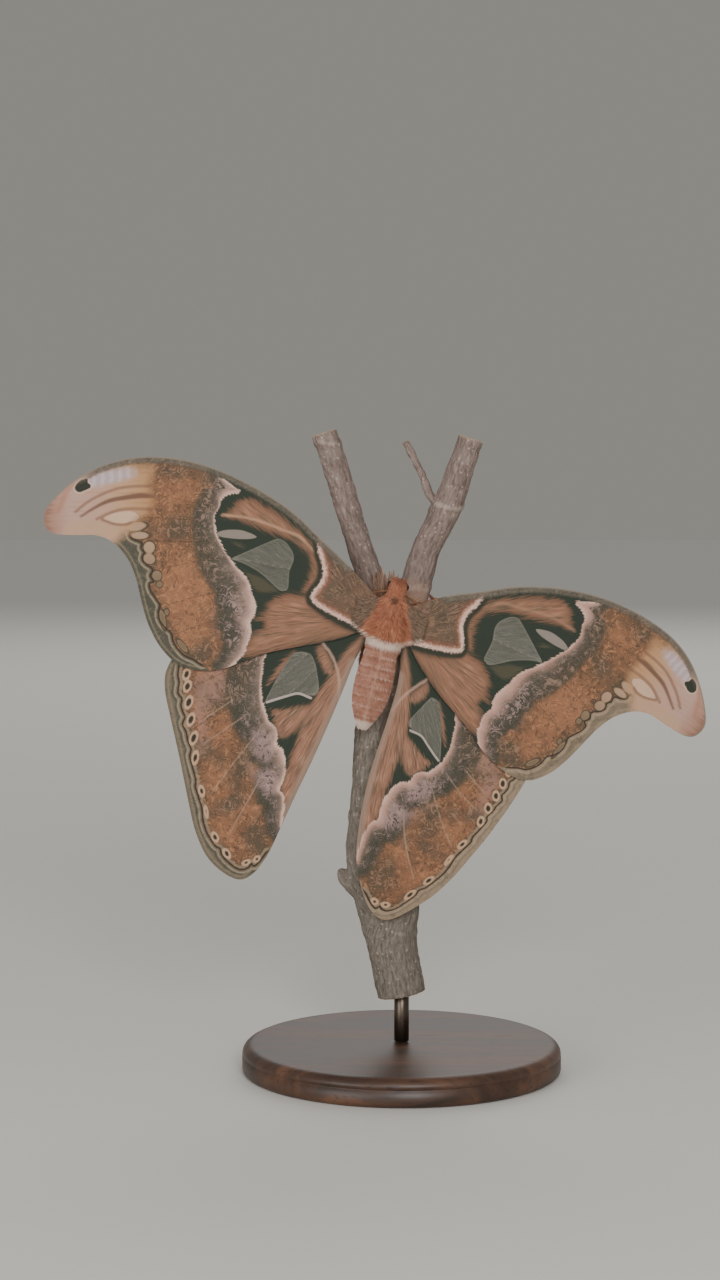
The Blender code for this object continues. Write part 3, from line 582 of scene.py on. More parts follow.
HINDWING_VEINS = (
    ((-9.5, -3.0), (-28.0, -2.5), (-52.0, -6.0), (-73.0, -16.0)),
    ((-10.0, -5.0), (-26.0, -9.5), (-50.0, -14.5), (-73.5, -25.0)),
    ((-26.0, -9.5), (-41.5, -23.0), (-56.0, -30.0), (-70.8, -39.0)),
    ((-23.5, -15.0), (-41.0, -31.0), (-55.0, -41.0), (-68.5, -52.0)),
    ((-23.0, -22.0), (-38.0, -38.0), (-52.0, -52.0), (-66.0, -65.5)),
    ((-10.5, -8.0), (-18.0, -17.0), (-23.0, -22.0), (-36.5, -46.0), (-48.0, -62.0), (-60.0, -79.0)),
    ((-18.0, -17.0), (-30.0, -40.0), (-41.0, -62.0), (-51.0, -84.5)),
    ((-12.5, -15.0), (-22.0, -36.0), (-33.0, -58.0), (-42.5, -79.0)),
)


def wing_plan(outline):
    """A flat mesh of even triangles within the outline."""
    low, high = outline.min(axis=0), outline.max(axis=0)
    rows = []
    for row, up in enumerate(np.arange(low[1], high[1], FILL_STEP * 0.87)):
        across = np.arange(low[0] + (row % 2) * FILL_STEP / 2, high[0], FILL_STEP)
        rows.append(np.column_stack([across, np.full(len(across), up)]))
    grid = np.vstack(rows)
    grid = grid[within(grid, outline)]
    loop = np.vstack([outline, outline[:1]])
    grid = grid[np.abs(measure_line(grid, loop)[0]) > FILL_STEP * 0.45]
    points = [Vector(p) for p in np.vstack([outline, grid])]
    edges = [(i, (i + 1) % len(outline)) for i in range(len(outline))]
    found = geometry.delaunay_2d_cdt(points, edges, [], 1, 1e-5)
    flat = np.array([tuple(v) for v in found[0]])
    faces = np.array(found[2])
    a, b, c = (flat[faces[:, i]] for i in range(3))
    turned = (b - a)[:, 0] * (c - a)[:, 1] - (b - a)[:, 1] * (c - a)[:, 0] < 0
    faces[turned] = faces[turned][:, ::-1]
    return flat, faces


def vein_relief(points, veins):
    """Distance to the nearest vein, and the height of the veins with the furrows between them."""
    nearest = np.full(len(points), FAR)
    ridge = np.zeros(len(points))
    for vein in veins:
        line = smooth_line(vein, 1.0)
        away, along = measure_line(points, line)
        away = np.abs(away)
        share = along / max(along.max(), 1e-6)
        half = VEIN_WIDTHS[0] + (VEIN_WIDTHS[1] - VEIN_WIDTHS[0]) * share
        fade = np.clip(4.0 * (1.04 - share), 0, 1)
        ridge = np.maximum(ridge, VEIN_HEIGHT * fade * np.clip(1 - away / half, 0, 1) ** 0.7)
        nearest = np.minimum(nearest, away)
    return nearest, ridge - FURROW_DEPTH * (1 - np.exp(-((nearest / 4.0) ** 2)))


def wing_rise(places, root_rise):
    """How far the film stands out: highest at the body, falling back outwards."""
    from_axis = np.hypot(places[:, 0] - BODY_SHIFT, places[:, 1])
    return root_rise - WING_SAG * (from_axis / WING_REACH) ** 2


fore_flat, fore_faces = wing_plan(fore_outline)
hind_flat, hind_faces = wing_plan(hind_outline)
print("plan triangles:", len(fore_faces), len(hind_faces))

# %% [markdown]
# ## Forewing: the drawing
#
# The pattern of an atlas moth is a set of bands that follow the margin. A white line near the middle
# parts the black inner field, with its clear pane, from the tawny outer field. A thin wavy black line
# runs along the outer edge with a chain of pale moons beside it, and the tip ends in pink and yellow
# streaks with one dark comma. Each shape is a short row of places, smoothed to a curve.

# %% Lines and shapes of the forewing
FORE_MIDDLE_LINE = (
    (-55.6, 50.1), (-49.3, 45.6), (-53.2, 44.3), (-55.6, 42.6), (-56.5, 39.8), (-57.9, 37.4),
    (-57.7, 33.9), (-57.4, 31.5), (-55.8, 28.0), (-53.7, 24.2), (-51.3, 21.0), (-48.5, 17.9),
    (-46.4, 15.1), (-45.9, 13.1), (-45.0, 10.3), (-44.0, 7.8), (-43.8, 5.7), (-44.6, 3.0),
    (-45.9, 0.9), (-45.5, -1.9), (-46.0, -4.4), (-47.3, -7.8), (-47.8, -9.5), (-49.9, -11.9),
    (-53.5, -15.7),
)
FORE_INNER_LINE = (
    (-22.3, 29.3), (-22.1, 24.9), (-20.7, 19.8), (-21.2, 15.3), (-24.8, 9.8), (-22.1, 6.6),
    (-15.7, 2.9), (-7.5, -1.2), (-4.4, -2.6),
)
FORE_PANE = (
    (-52.7, 22.6), (-38.7, 28.7), (-35.9, 29.4), (-33.5, 28.0), (-31.4, 24.9), (-31.1, 22.1),
    (-32.5, 18.3), (-33.0, 12.7), (-34.2, 11.8), (-36.3, 12.3), (-42.2, 17.6), (-48.1, 21.0),
)
FORE_SLIVER = (
    (-57.3, 31.5), (-54.2, 32.4), (-49.4, 32.4), (-46.0, 31.4), (-43.6, 30.0), (-46.7, 29.3),
    (-52.2, 29.5), (-56.6, 30.3),
)
FORE_WAVY_LINE = (
    (-87.2, 32.0), (-86.9, 29.9), (-85.1, 28.8), (-82.9, 28.0), (-83.2, 26.1), (-82.2, 24.7),
    (-82.9, 22.6), (-81.7, 20.8), (-79.2, 18.9), (-80.1, 16.7), (-78.9, 14.8), (-80.4, 13.9),
    (-79.9, 11.5), (-78.2, 9.0), (-76.8, 6.6), (-77.3, 4.1), (-77.0, 1.7), (-75.4, -0.7),
    (-73.0, -2.8), (-72.3, -5.6), (-70.9, -8.0), (-68.4, -10.5), (-65.3, -11.9), (-62.5, -13.8),
)
FORE_WARM_FIELDS = (
    (
        (-54.5, 37.4), (-50.4, 42.2), (-46.3, 43.8), (-38.5, 39.9), (-29.4, 33.1), (-22.55, 25.3),
        (-20.95, 22.6), (-21.2, 19.8), (-23.0, 14.4), (-26.2, 10.5), (-29.4, 11.6), (-27.35, 14.4),
        (-25.75, 18.9), (-26.2, 23.0), (-29.4, 26.2), (-34.0, 29.2), (-40.8, 31.7), (-47.7, 34.5),
        (-54.5, 36.5),
    ),
    (
        (-25.3, 10.5), (-34.0, 11.2), (-39.45, 8.4), (-41.3, 4.8), (-44.5, 2.0), (-41.7, 0.2),
        (-46.3, -3.9), (-47.7, -11.2), (-22.55, -6.2), (-8.85, -3.0), (-15.7, 0.7), (-22.1, 4.8),
        (-25.3, 8.4),
    ),
)
FORE_OLIVE_FIELDS = (
    ((-49.05, 19.8), (-42.2, 16.65), (-35.8, 11.6), (-44.0, 11.6), (-47.7, 18.0)),
    ((-53.6, 29.0), (-49.5, 28.2), (-46.3, 26.2), (-50.5, 26.6)),
)
FORE_BRIGHT_VEIN = (
    (-55.4, 37.4), (-50.0, 37.0), (-43.1, 35.6), (-34.0, 32.2), (-29.4, 30.35), (-24.8, 26.2),
    (-21.6, 22.6),
)
FORE_MOONS = (
    (-84.9, 33.5, 3.4, 1.4, 8), (-83.7, 30.45, 3.0, 1.2, 0), (-80.4, 26.4, 1.9, 1.95, 0),
    (-80.4, 22.5, 2.0, 1.7, -20), (-77.8, 16.8, 1.5, 1.6, 0), (-76.9, 13.8, 0.95, 0.9, 0),
    (-75.9, 1.9, 0.8, 3.0, 12), (-74.5, 4.3, 0.6, 0.9, 0), (-69.2, -7.2, 0.8, 2.4, 38),
)
FORE_BAND_ENDS = (  # by height on the middle line: white, dark, then the start of the warm field
    (50.0, (0.8, 2.6, 5.0)), (45.0, (3.4, 6.0, 9.0)), (41.0, (1.3, 6.5, 9.0)), (32.4, (1.3, 6.8, 9.0)),
    (23.9, (1.3, 9.5, 12.0)), (8.5, (4.2, 12.5, 15.5)), (-5.1, (2.4, 9.4, 11.5)),
    (-10.2, (2.6, 7.8, 9.5)), (-15.0, (2.0, 5.0, 6.5)),
)
BROWN_WIDTH = 5.0  # the brown stretch just inside the wavy line
FORE_GLOWS = (
    (-67.0, 13.5, 10.0, 12.0, 10), (-68.5, 45.0, 6.0, 5.0, 0), (-66.0, -4.0, 6.0, 7.0, -20),
)
FORE_ROSES = (
    (-50.5, 4.0, 7.5, 13.0, 0), (-56.0, 46.5, 4.0, 3.5, 0), (-47.0, -10.0, 5.0, 5.0, 0),
)
FORE_DUSKS = (
    (-71.0, 33.5, 12.0, 3.6, 8), (-60.5, 26.0, 4.0, 9.0, 10), (-74.0, 52.0, 8.0, 3.0, 0),
    (-62.0, -9.0, 6.0, 4.0, 20), (-60.0, 42.0, 4.0, 8.0, 0),
)

# %% Shapes of the forewing's tip
TIP_FIELD = (
    (-78.9, 53.2), (-79.6, 46.6), (-79.9, 40.1), (-82.6, 37.0), (-84.2, 34.9), (-87.6, 31.8),
    (-94.0, 27.0), (-106.0, 27.0), (-121.0, 30.0), (-121.0, 42.0), (-109.0, 49.4), (-98.5, 53.4),
    (-88.0, 54.6),
)
COMMA_SPOT = (
    (-101.95, 49.45), (-104.1, 48.7), (-105.6, 47.1), (-105.5, 46.0), (-104.3, 45.5),
    (-102.6, 46.2), (-100.9, 47.1), (-101.95, 48.3),
)
LILAC_PATCH = (
    (-101.95, 49.45), (-96.7, 51.85), (-91.5, 52.9), (-85.0, 53.3), (-84.6, 50.5), (-88.9, 49.45),
    (-95.0, 47.9), (-100.65, 47.3),
)
CREAM_MOON = (
    (-96.7, 36.2), (-93.25, 37.9), (-88.0, 38.8), (-85.4, 38.4), (-83.7, 36.6), (-85.9, 35.3),
    (-89.8, 34.45), (-93.25, 34.8),
)
CREAM_EDGE = (
    (-111.1, 31.8), (-106.3, 35.3), (-96.7, 35.3), (-88.9, 33.6), (-90.5, 31.9), (-95.0, 31.0),
    (-98.5, 29.6), (-106.0, 29.4),
)
RED_STREAK = (
    (-78.5, 43.6), (-82.4, 44.0), (-85.4, 43.8), (-89.8, 43.15), (-93.25, 42.5), (-96.7, 41.2),
    (-100.65, 39.0), (-104.1, 36.8),
)
RED_STREAK_WIDTHS = (0.1, 0.6, 0.55, 0.45, 0.4, 0.25, 0.15, 0.05)
FINE_STREAKS = (
    ((-79.8, 47.3), (-86.7, 47.1), (-92.4, 46.1), (-97.6, 44.0), (-101.95, 41.6), (-105.9, 38.4)),
    ((-76.7, 39.2), (-82.4, 39.45), (-88.9, 39.45), (-93.25, 38.4), (-98.5, 36.0)),
    ((-96.9, 35.9), (-92.4, 34.3), (-88.6, 34.1), (-86.6, 34.9)),
)
ORANGE_STREAK = (
    (-104.1, 48.8), (-107.6, 47.1), (-109.35, 44.45), (-110.65, 41.4), (-112.0, 38.8),
)
COSTA_END = 14  # margin places from the root to the tip
FORE_ROOT_MIDDLE = (-4.5, 2.0)

# %% The numbers that all wings have
PATTERN_STEP = 0.5
WAVY_STEP = 0.4
COMMA_STEP = 0.3


def band_places(outward, height, inward, table):
    """0 on the middle line, 1 where its white ends, 2 where the dark ends, 3 where the warm field
    starts, 4 where it browns and 5 on the wavy line."""
    heights = np.array([row[0] for row in table])[::-1]
    ends = np.array([row[1] for row in table])[::-1]
    total = np.maximum(outward + np.maximum(inward, 0), 0.5)
    knots = [np.zeros(len(outward))]
    knots += [np.interp(height, heights, ends[:, i]) for i in range(3)]
    knots[1:] = [np.minimum(knot, total * share) for knot, share in zip(knots[1:], (0.2, 0.6, 0.7))]
    knots += [np.maximum(total - BROWN_WIDTH, knots[3] + 0.1), np.maximum(total, knots[3] + 0.2)]
    found = np.zeros(len(outward))
    for i, (low, high) in enumerate(zip(knots, knots[1:])):
        found += np.clip((outward - low) / np.maximum(high - low, 1e-3), 0, 1)
    return found


def off_lines(flat, *lines):
    """Distance to the nearest of some smooth lines, on either side."""
    return np.minimum.reduce([np.abs(measure_line(flat, smooth_line(x, PATTERN_STEP))[0]) for x in lines])


def off_shapes(flat, *shapes):
    """Distance to the nearest of some rounded shapes, below zero inside it."""
    return np.minimum.reduce([measure_shape(flat, shape) for shape in shapes])


def off_margin(flat, outline, margin, start=0, end=-1):
    """Distance to the stretch of a fine outline between two of the margin's places."""
    first, last = (
        int(np.linalg.norm(outline - place, axis=1).argmin()) for place in (margin[start], margin[end])
    )
    return np.abs(measure_line(flat, outline[first : last + 1])[0])


def wing_numbers(flat, outline, margin, root, lines, ends, shapes, thin_lines, ovals):
    """What the finish reads at each point of a plan. The three lines of a wing are its middle, wavy
    and inner one; swing and reach are the angle round its root and the distance from it."""
    middle_line, wavy_line, inner_line = lines
    middle = smooth_line(middle_line, PATTERN_STEP)
    away, along = measure_line(flat, middle)
    run = np.concatenate([[0], np.cumsum(np.linalg.norm(np.diff(middle, axis=0), axis=1))])
    height = np.interp(along, run, middle[:, 1])
    wavy = measure_line(flat, smooth_line(wavy_line, WAVY_STEP))[0]
    offset = flat - np.array(root)
    return {
        "middle": -away,
        "band": band_places(-away, height, wavy, ends),
        "wavy": -wavy,
        "edge": off_margin(flat, outline, margin),
        "inner": measure_line(flat, smooth_line(inner_line, PATTERN_STEP))[0],
        "swing": np.arctan2(offset[:, 1], -offset[:, 0]),
        "reach": np.hypot(*offset.T),
        "height": flat[:, 1],
        "under": np.zeros(len(flat)),
        "right": np.zeros(len(flat)),
        **{key: off_shapes(flat, *rows) for key, rows in shapes.items()},
        **{key: off_lines(flat, *rows) for key, rows in thin_lines.items()},
        **{key: measure_ovals(flat, rows) for key, rows in ovals.items()},
    }


# %% The forewing's numbers
fore_numbers = wing_numbers(
    fore_flat, fore_outline, FOREWING_MARGIN, FORE_ROOT_MIDDLE,
    (FORE_MIDDLE_LINE, FORE_WAVY_LINE, FORE_INNER_LINE), FORE_BAND_ENDS,
    {
        "pane": [FORE_PANE], "sliver": [FORE_SLIVER], "warm": FORE_WARM_FIELDS,
        "olive": FORE_OLIVE_FIELDS, "tip": [TIP_FIELD], "lilac": [LILAC_PATCH], "cream": [CREAM_MOON],
        "cream_edge": [CREAM_EDGE],
    },
    {"bright_vein": [FORE_BRIGHT_VEIN], "fine_streak": FINE_STREAKS, "orange_streak": [ORANGE_STREAK]},
    {"moons": FORE_MOONS, "glow": FORE_GLOWS, "rosy": FORE_ROSES, "dusk": FORE_DUSKS},
)
red_away, red_along = measure_line(fore_flat, smooth_line(RED_STREAK, PATTERN_STEP))
red_keys = np.linspace(0, red_along.max(), len(RED_STREAK_WIDTHS))
fore_numbers["red_streak"] = np.abs(red_away) - np.interp(red_along, red_keys, RED_STREAK_WIDTHS)
fore_numbers["comma"] = measure_shape(fore_flat, COMMA_SPOT, COMMA_STEP)
fore_numbers["costa"] = off_margin(fore_flat, fore_outline, FOREWING_MARGIN, 0, COSTA_END)
fore_numbers["inward"] = -fore_flat[:, 0]
print("forewing numbers:", len(fore_numbers))

# %% [markdown]
# ## Shared effects of the scales
#
# Moth wings are covered with scales like dust, and where two colours meet they mix as short curly
# flecks. Between the lines the fur lies in fine streaks that fan out from the wing's root. Both are
# node groups, and the front and the hind wings use them alike.

# %% Curly flecks
FLECK_FOLDS = 5.0
FLECK_BREAK_SIZE = 0.0024
DUST_SIZE = 1 / 3400

fleck_tree, fleck, fleck_in, fleck_out = new_group(
    "scale_flecks", {"place": None, "size": 0.0039, "amount": 0.31}, ("Pale", "Dark", "Dust")
)
for fleck_name, fleck_offset in (("Pale", 0.0), ("Dark", 0.37)):
    moved = fleck.vector("ADD", {0: fleck_in["place"], 1: (fleck_offset,) * 3})
    fleck_scale = fleck.math("DIVIDE", 1.0, fleck_in["size"])
    curl_inputs = {"Vector": moved, "Scale": fleck_scale, "Detail": 1.0, "Distortion": 1.4}
    curls = fleck.add("ShaderNodeTexNoise", curl_inputs).outputs[0]
    turns = fleck.math("FRACT", fleck.times(curls, FLECK_FOLDS))
    fold = fleck.math("ABSOLUTE", fleck.minus(turns, 0.5))
    strokes = fleck.rise(fold, fleck_in["amount"], fleck.times(fleck_in["amount"], 0.1))
    breaks = fleck.rise(fleck.noise(moved, FLECK_BREAK_SIZE, 1.0), 0.38, 0.6)
    fleck.feed(fleck_out[fleck_name], fleck.times(strokes, breaks))
fleck.feed(fleck_out["Dust"], fleck.noise(fleck_in["place"], DUST_SIZE, 1.0))

# %% Hair streaks
hair_tree, hair, hair_in, hair_out = new_group(
    "fanning_hairs", {"swing": 0.0, "reach": 0.0, "fineness": 120.0, "length": 7.0}, ("Light", "Broad")
)
for hair_name, hair_share in (("Light", 1.0), ("Broad", 0.28)):
    fan = hair.joined(
        hair.times(hair_in["swing"], hair_in["fineness"], hair_share),
        hair.times(hair.math("DIVIDE", hair_in["reach"], hair_in["length"]), hair_share + 0.2),
        3.0 * hair_share,
    )
    hair.feed(hair_out[hair_name], hair.noise(fan, 1.0))
print("effects:", fleck_tree.name, hair_tree.name)

# %% [markdown]
# ## Forewing: the finish
#
# The colours go on from the bottom up, as a painter would do it: first the dark inner field with its
# warm furry areas, then the outer field in bands, then lines, moons and the tip. A little noise is
# added to every distance, so that edges look dusted rather than cut. A coat is one row: its colour,
# then the masks and the share that let it through.

# %% Colours of the wings
SOOT = (44, 52, 42)
SOFT_BLACK = (56, 57, 46)
LILAC = (160, 133, 127)
WHITE_LINE = (216, 180, 162)
MAROON = (132, 84, 66)
BRIGHT_TAWNY = (170, 119, 83)
PALE_OLIVE = (140, 124, 102)
GREY_OLIVE = (72, 71, 61)
CREAM = (202, 168, 140)
COSTA_GREY = (98, 89, 77)
PANE_GREY = (80, 80, 68)
SLIVER_GREY = (146, 132, 120)
PANE_CLEARNESS = 0.24
PANE_EDGE = (0.12, -0.12)
RAGGED_SIZE = 0.0006
RAGGED_REACH = 0.45
# Painted light: the right wings are the more lit side, so their rims are painted paler by this share.
LIT_RIM = 0.55  # how far the right wings' rims are paler
FORE_FUR = {
    "fuzz": 3.2, "sway": 1.4, "deep_share": 0.5,
    "strands": ((0.28, 62, 56, 44), (0.42, 110, 84, 65), (0.56, 150, 108, 84), (0.72, 192, 150, 122)),
    "deep": ((0.34, 86, 78, 62), (0.5, 140, 96, 72), (0.66, 160, 112, 90)),
}
FORE_MOON_LOOK = {
    "ring": 0.3, "ring_tone": (78, 66, 51), "rim_tone": (136, 112, 88), "rim": (86, 81, 67),
    "dark": (1.7, 3.9), "grow": -0.1,
}
BASE_TONES = ((0.05, 114, 86, 67), (0.3, 98, 81, 65), (0.6, 84, 75, 61))
OUTER_TONES = (
    (0.0, *WHITE_LINE), (0.05, 200, 164, 148), (0.12, 168, 134, 119), (0.2, 124, 104, 92),
    (0.26, 78, 72, 62), (0.37, 62, 61, 50), (0.47, 80, 67, 52), (0.57, 105, 77, 55),
    (0.7, 120, 84, 60), (0.86, 116, 82, 59), (0.94, 98, 76, 57), (1.0, 92, 75, 59),
)
TIP_TONES = (
    (0.0, 168, 120, 84), (0.12, 178, 136, 96), (0.3, 186, 146, 112), (0.5, 186, 148, 126),
    (0.78, 182, 148, 134), (0.93, 166, 126, 108), (1.0, 140, 104, 88),
)
TIP_START = 78.0
TIP_LENGTH = 38


# %% What all wings share
def start_wing(name, numbers, blot_size):
    """A wing's material and paintbox, and all that its painting reads at a spot: the marks of the
    mesh, the outputs of both groups, and the noise that makes edges ragged."""
    even = {"Sheen_Weight": 0.12, "Sheen_Roughness": 0.5, "Specular_IOR_Level": 0.3}
    material, brush, shader = new_finish(name, **even)
    mark = {key: brush.mark(key) for key in (*numbers, "vein")}
    mark["place"] = brush.place()
    mark.update(brush.group(fleck_tree, place=mark["place"]).items())
    mark.update(brush.group(hair_tree, swing=mark["swing"], reach=mark["reach"]).items())
    mark["ragged"] = brush.shift(brush.noise(mark["place"], RAGGED_SIZE), RAGGED_REACH)
    mark["blots"] = brush.noise(mark["place"], blot_size, 3.0)
    mark["streak"] = brush.shift(mark["Light"], 1.0)
    mark["field"] = brush.plus(mark["middle"], mark["ragged"])
    return material, brush, shader, mark


def paint_fur(brush, mark, look):
    """How far a spot is from the warm fields, made fuzzy by the strands, and the colour of hair."""
    sway = brush.shift(mark["Broad"], look["sway"])
    fuzzy = brush.plus(mark["warm"], brush.times(mark["streak"], look["fuzz"]), sway)
    furry = brush.ramp(mark["Light"], look["strands"])
    return fuzzy, brush.over(look["deep_share"], brush.ramp(mark["Broad"], look["deep"]), furry)


def paint_outer_field(brush, mark, colour):
    """From the white middle line out to the wavy line, with glowing, dusky and rosy areas."""
    ragged, pale, dark = mark["ragged"], mark["Pale"], mark["Dark"]
    uneven = brush.shift(mark["blots"], 1.0)
    band = brush.plus(mark["band"], brush.times(ragged, 0.4), brush.times(uneven, 0.45))
    warm = brush.rise(band, 2.2, 3.1)
    areas = (("glow", 5.0, 3.0, -5.0), ("dusk", 5.0, 2.5, -3.0), ("rosy", 4.0, 2.5, -3.0))
    glow, dusk, rosy = (
        brush.rise(brush.plus(mark[key], brush.times(uneven, wobble)), start, end)
        for key, wobble, start, end in areas
    )
    glow = brush.times(warm, glow)
    dusk = brush.times(dusk, brush.rise(band, 1.0, 1.6))
    dusky = brush.most(brush.stripe(band, 0.9, 2.6, 0.5), brush.times(dusk, 0.8))
    orange = brush.times(warm, brush.minus(1.0, brush.times(dusk, 0.7)))
    vein = brush.rise(brush.plus(mark["vein"], brush.times(ragged, 0.3)), 0.34, 0.1)
    field = brush.layers(
        brush.ramp(brush.times(band, 0.2), OUTER_TONES),
        ((88, 80, 69), brush.stripe(band, 0.45, 1.4, 0.3), brush.minus(1.0, rosy), 0.75),
        ((153, 104, 73), glow, 0.7),
        ((76, 67, 53), dusk, 0.85),
        ((166, 124, 108), rosy, warm, 0.6),
        ((54, 54, 45), dusky, dark, 0.7),
        # Painted light: on the right wings a pinkish pale band just outside the white line, as on the more
        # lit side.
        ((196, 146, 126), mark["right"], brush.stripe(band, 0.15, 0.9, 0.4), 0.55),
        (LILAC, brush.stripe(band, 0.2, 2.0, 0.6), pale, brush.scaled(rosy, 0.42, 0.4)),
        (BRIGHT_TAWNY, orange, pale, 0.85),
        ((148, 118, 98), dusk, pale, 0.6),
        ((80, 62, 48), orange, dark, brush.scaled(glow, -0.25, 0.9)),
        ((196, 160, 136), brush.rise(mark["Dust"], 0.54, 0.68), 0.16),
        ((74, 60, 46), vein, brush.rise(band, 0.6, 1.6), 0.5),
    )
    hairy = brush.plus(mark["field"], brush.times(mark["streak"], 0.9))
    return brush.over(brush.rise(hairy, -0.25, 0.25), field, colour)


def paint_margin(brush, mark, colour, look):
    """The wavy line, the pale and dark lines that follow it outside, and the moons inside it."""
    wavy = brush.plus(mark["wavy"], brush.times(mark["ragged"], 0.25))
    moons = brush.plus(mark["moons"], brush.times(mark["ragged"], 0.3), look["grow"])
    rim = brush.layers(
        look["rim"],
        # Painted light: on the right wings the rim is painted paler and the dark line beside the wavy line
        # weaker, as on the more lit side.
        ((172, 146, 120), mark["right"], LIT_RIM),
        (GREY_OLIVE, brush.stripe(wavy, *look["dark"], 0.45), brush.scaled(mark["right"], -0.45, 0.85)),
        ((156, 138, 113), brush.stripe(wavy, 0.8, 1.35, 0.25), 0.85),
        (PALE_OLIVE, brush.stripe(mark["edge"], 1.0, 1.5, 0.3), 0.6),
        (SOFT_BLACK, mark["Dark"], 0.35),
        (PALE_OLIVE, mark["Pale"], 0.25),
    )
    return brush.layers(
        colour,
        (rim, brush.rise(wavy, -0.1, 0.2)),
        (look["ring_tone"], brush.rise(moons, look["ring"] + 0.25, look["ring"] - 0.1)),
        (look["rim_tone"], brush.rise(moons, 0.1, -0.15)),
        (look["inside"], brush.rise(moons, -0.05, -0.35)),
        ((56, 46, 36), brush.rise(brush.math("ABSOLUTE", wavy), 0.36, 0.16)),
    )


def finish_wing(brush, shader, mark, colour, clear):
    """Clear panes, powdery gloss and the relief of scales and hairs."""
    film = brush.layers(
        PANE_GREY,
        ((98, 96, 83), brush.rise(mark["Broad"], 0.4, 0.7), 0.6),
        ((134, 127, 112), brush.rise(mark["Light"], 0.52, 0.7), 0.4),
        ((140, 130, 114), brush.rise(mark["vein"], 0.3, 0.05), 0.6),
        ((132, 124, 110), brush.rise(mark["pane"], -0.7, 0.0), 0.4),
        (SLIVER_GREY, brush.rise(mark["sliver"], *PANE_EDGE), 0.8),
    )
    heights = (("Dust", 0.5), ("Light", 0.9), ("Pale", 0.5))
    relief = brush.plus(*(brush.times(mark[key], height) for key, height in heights))
    relief = brush.times(relief, brush.scaled(clear, -0.85, 1.0))
    brush.dress(
        shader,
        Base_Color=brush.layers(colour, (film, clear), ((150, 122, 100), mark["under"], 0.22)),
        Alpha=brush.scaled(clear, -PANE_CLEARNESS, 1.0),
        Roughness=brush.scaled(clear, -0.38, 0.82),
        Normal=brush.bump(relief, 0.45, 0.25),
    )


# %% The forewing's finish
def paint_fore_inner(brush, mark):
    """The black field between the inner and the middle line, with its warm areas."""
    fuzzy, furry = paint_fur(brush, mark, FORE_FUR)
    shaded = brush.over(0.55, (84, 64, 50), furry)
    furry = brush.over(brush.rise(fuzzy, -2.6, -0.2), shaded, furry)
    olive_fuzz = brush.plus(mark["olive"], brush.times(mark["streak"], 1.6))
    vein = brush.rise(brush.plus(mark["bright_vein"], brush.times(mark["streak"], 0.6)), 0.8, 0.05)
    return brush.layers(
        SOOT,
        (furry, brush.rise(fuzzy, 0.5, -1.3)),
        ((88, 80, 62), brush.rise(olive_fuzz, 0.3, -1.2), 0.6),
        ((184, 142, 112), vein, brush.scaled(mark["right"], -0.45, 0.75)),
    )


def paint_base(brush, mark, colour):
    """The brown field by the root, out to the pale inner line."""
    fine = brush.shift(brush.noise(mark["place"], 0.0009, 3.0), 1.0)
    inner = brush.plus(mark["inner"], brush.plus(mark["ragged"], brush.times(fine, 0.9)))
    fade = brush.plus(brush.times(mark["reach"], 1 / 60), brush.shift(mark["blots"], 0.25))
    base = brush.layers(
        brush.ramp(fade, BASE_TONES),
        ((54, 49, 40), brush.rise(mark["Light"], 0.55, 0.35), 0.75),
        ((160, 120, 96), brush.rise(mark["Light"], 0.54, 0.66), 0.65),
        ((66, 56, 45), mark["Dark"], 0.45),
        ((158, 126, 102), mark["Pale"], 0.32),
        (MAROON, brush.stripe(inner, -1.0, 2.4, 0.9), 0.55),
        ((184, 138, 118), brush.stripe(inner, -1.0, 1.3, 0.5), 0.7),
    )
    return brush.layers(
        colour,
        (base, brush.rise(inner, -0.6, 0.3)),
        ((50, 50, 40), brush.stripe(mark["inner"], -2.2, -0.2, 0.7)),
        (WHITE_LINE, brush.stripe(inner, -0.45, 0.6, 0.5)),
    )


def paint_tip(brush, mark, colour):
    """The pink and yellow tip with its streaks, cream moons and dark comma."""
    inward = mark["inward"]
    outward = brush.times(brush.minus(inward, TIP_START), 1 / TIP_LENGTH)
    lengthwise = brush.joined(brush.times(inward, 0.05), brush.times(mark["height"], 0.9))
    brushed = brush.noise(lengthwise, 1.0, 3.0)
    lilac = brush.rise(brush.plus(mark["lilac"], brush.shift(brushed, 1.6)), 1.2, -1.2)
    lilac = brush.times(lilac, brush.rise(inward, 82.0, 90.0))
    scallops = brush.math("SINE", brush.plus(brush.times(inward, 2.1), brush.shift(brushed, 2.0)))
    edge_glow = brush.rise(brush.plus(mark["cream_edge"], brush.shift(brushed, 1.0)), 0.8, -0.8)
    comma = brush.plus(mark["comma"], brush.times(mark["ragged"], 0.4))
    tip = brush.layers(
        brush.ramp(brush.plus(outward, brush.shift(brushed, 0.12)), TIP_TONES),
        ((156, 112, 84), brush.rise(brushed, 0.45, 0.3), 0.35),
        ((176, 160, 166), lilac, 0.85),
        ((208, 196, 196), lilac, brush.rise(scallops, -0.4, 0.9), 0.38),
        ((166, 112, 84), brush.rise(mark["orange_streak"], 1.5, 0.2), 0.5),
        ((184, 148, 120), edge_glow, 0.8),
        (CREAM, brush.rise(mark["cream"], 0.25, -0.25)),
        ((136, 102, 80), brush.stripe(mark["cream"], -0.05, 0.35, 0.15), 0.35),
        ((126, 92, 74), brush.rise(mark["fine_streak"], 0.9, 0.1), 0.75),
        ((104, 74, 61), brush.rise(mark["red_streak"], 0.75, -0.1), 0.9),
        ((204, 174, 154), brush.rise(mark["comma"], 1.2, 0.65), 0.8),
        ((48, 50, 42), brush.rise(comma, 0.6, 0.2)),
    )
    edge = brush.plus(mark["tip"], brush.times(mark["ragged"], 2.4), brush.shift(mark["blots"], 3.0))
    return brush.over(brush.rise(edge, 2.6, -2.6), tip, colour)


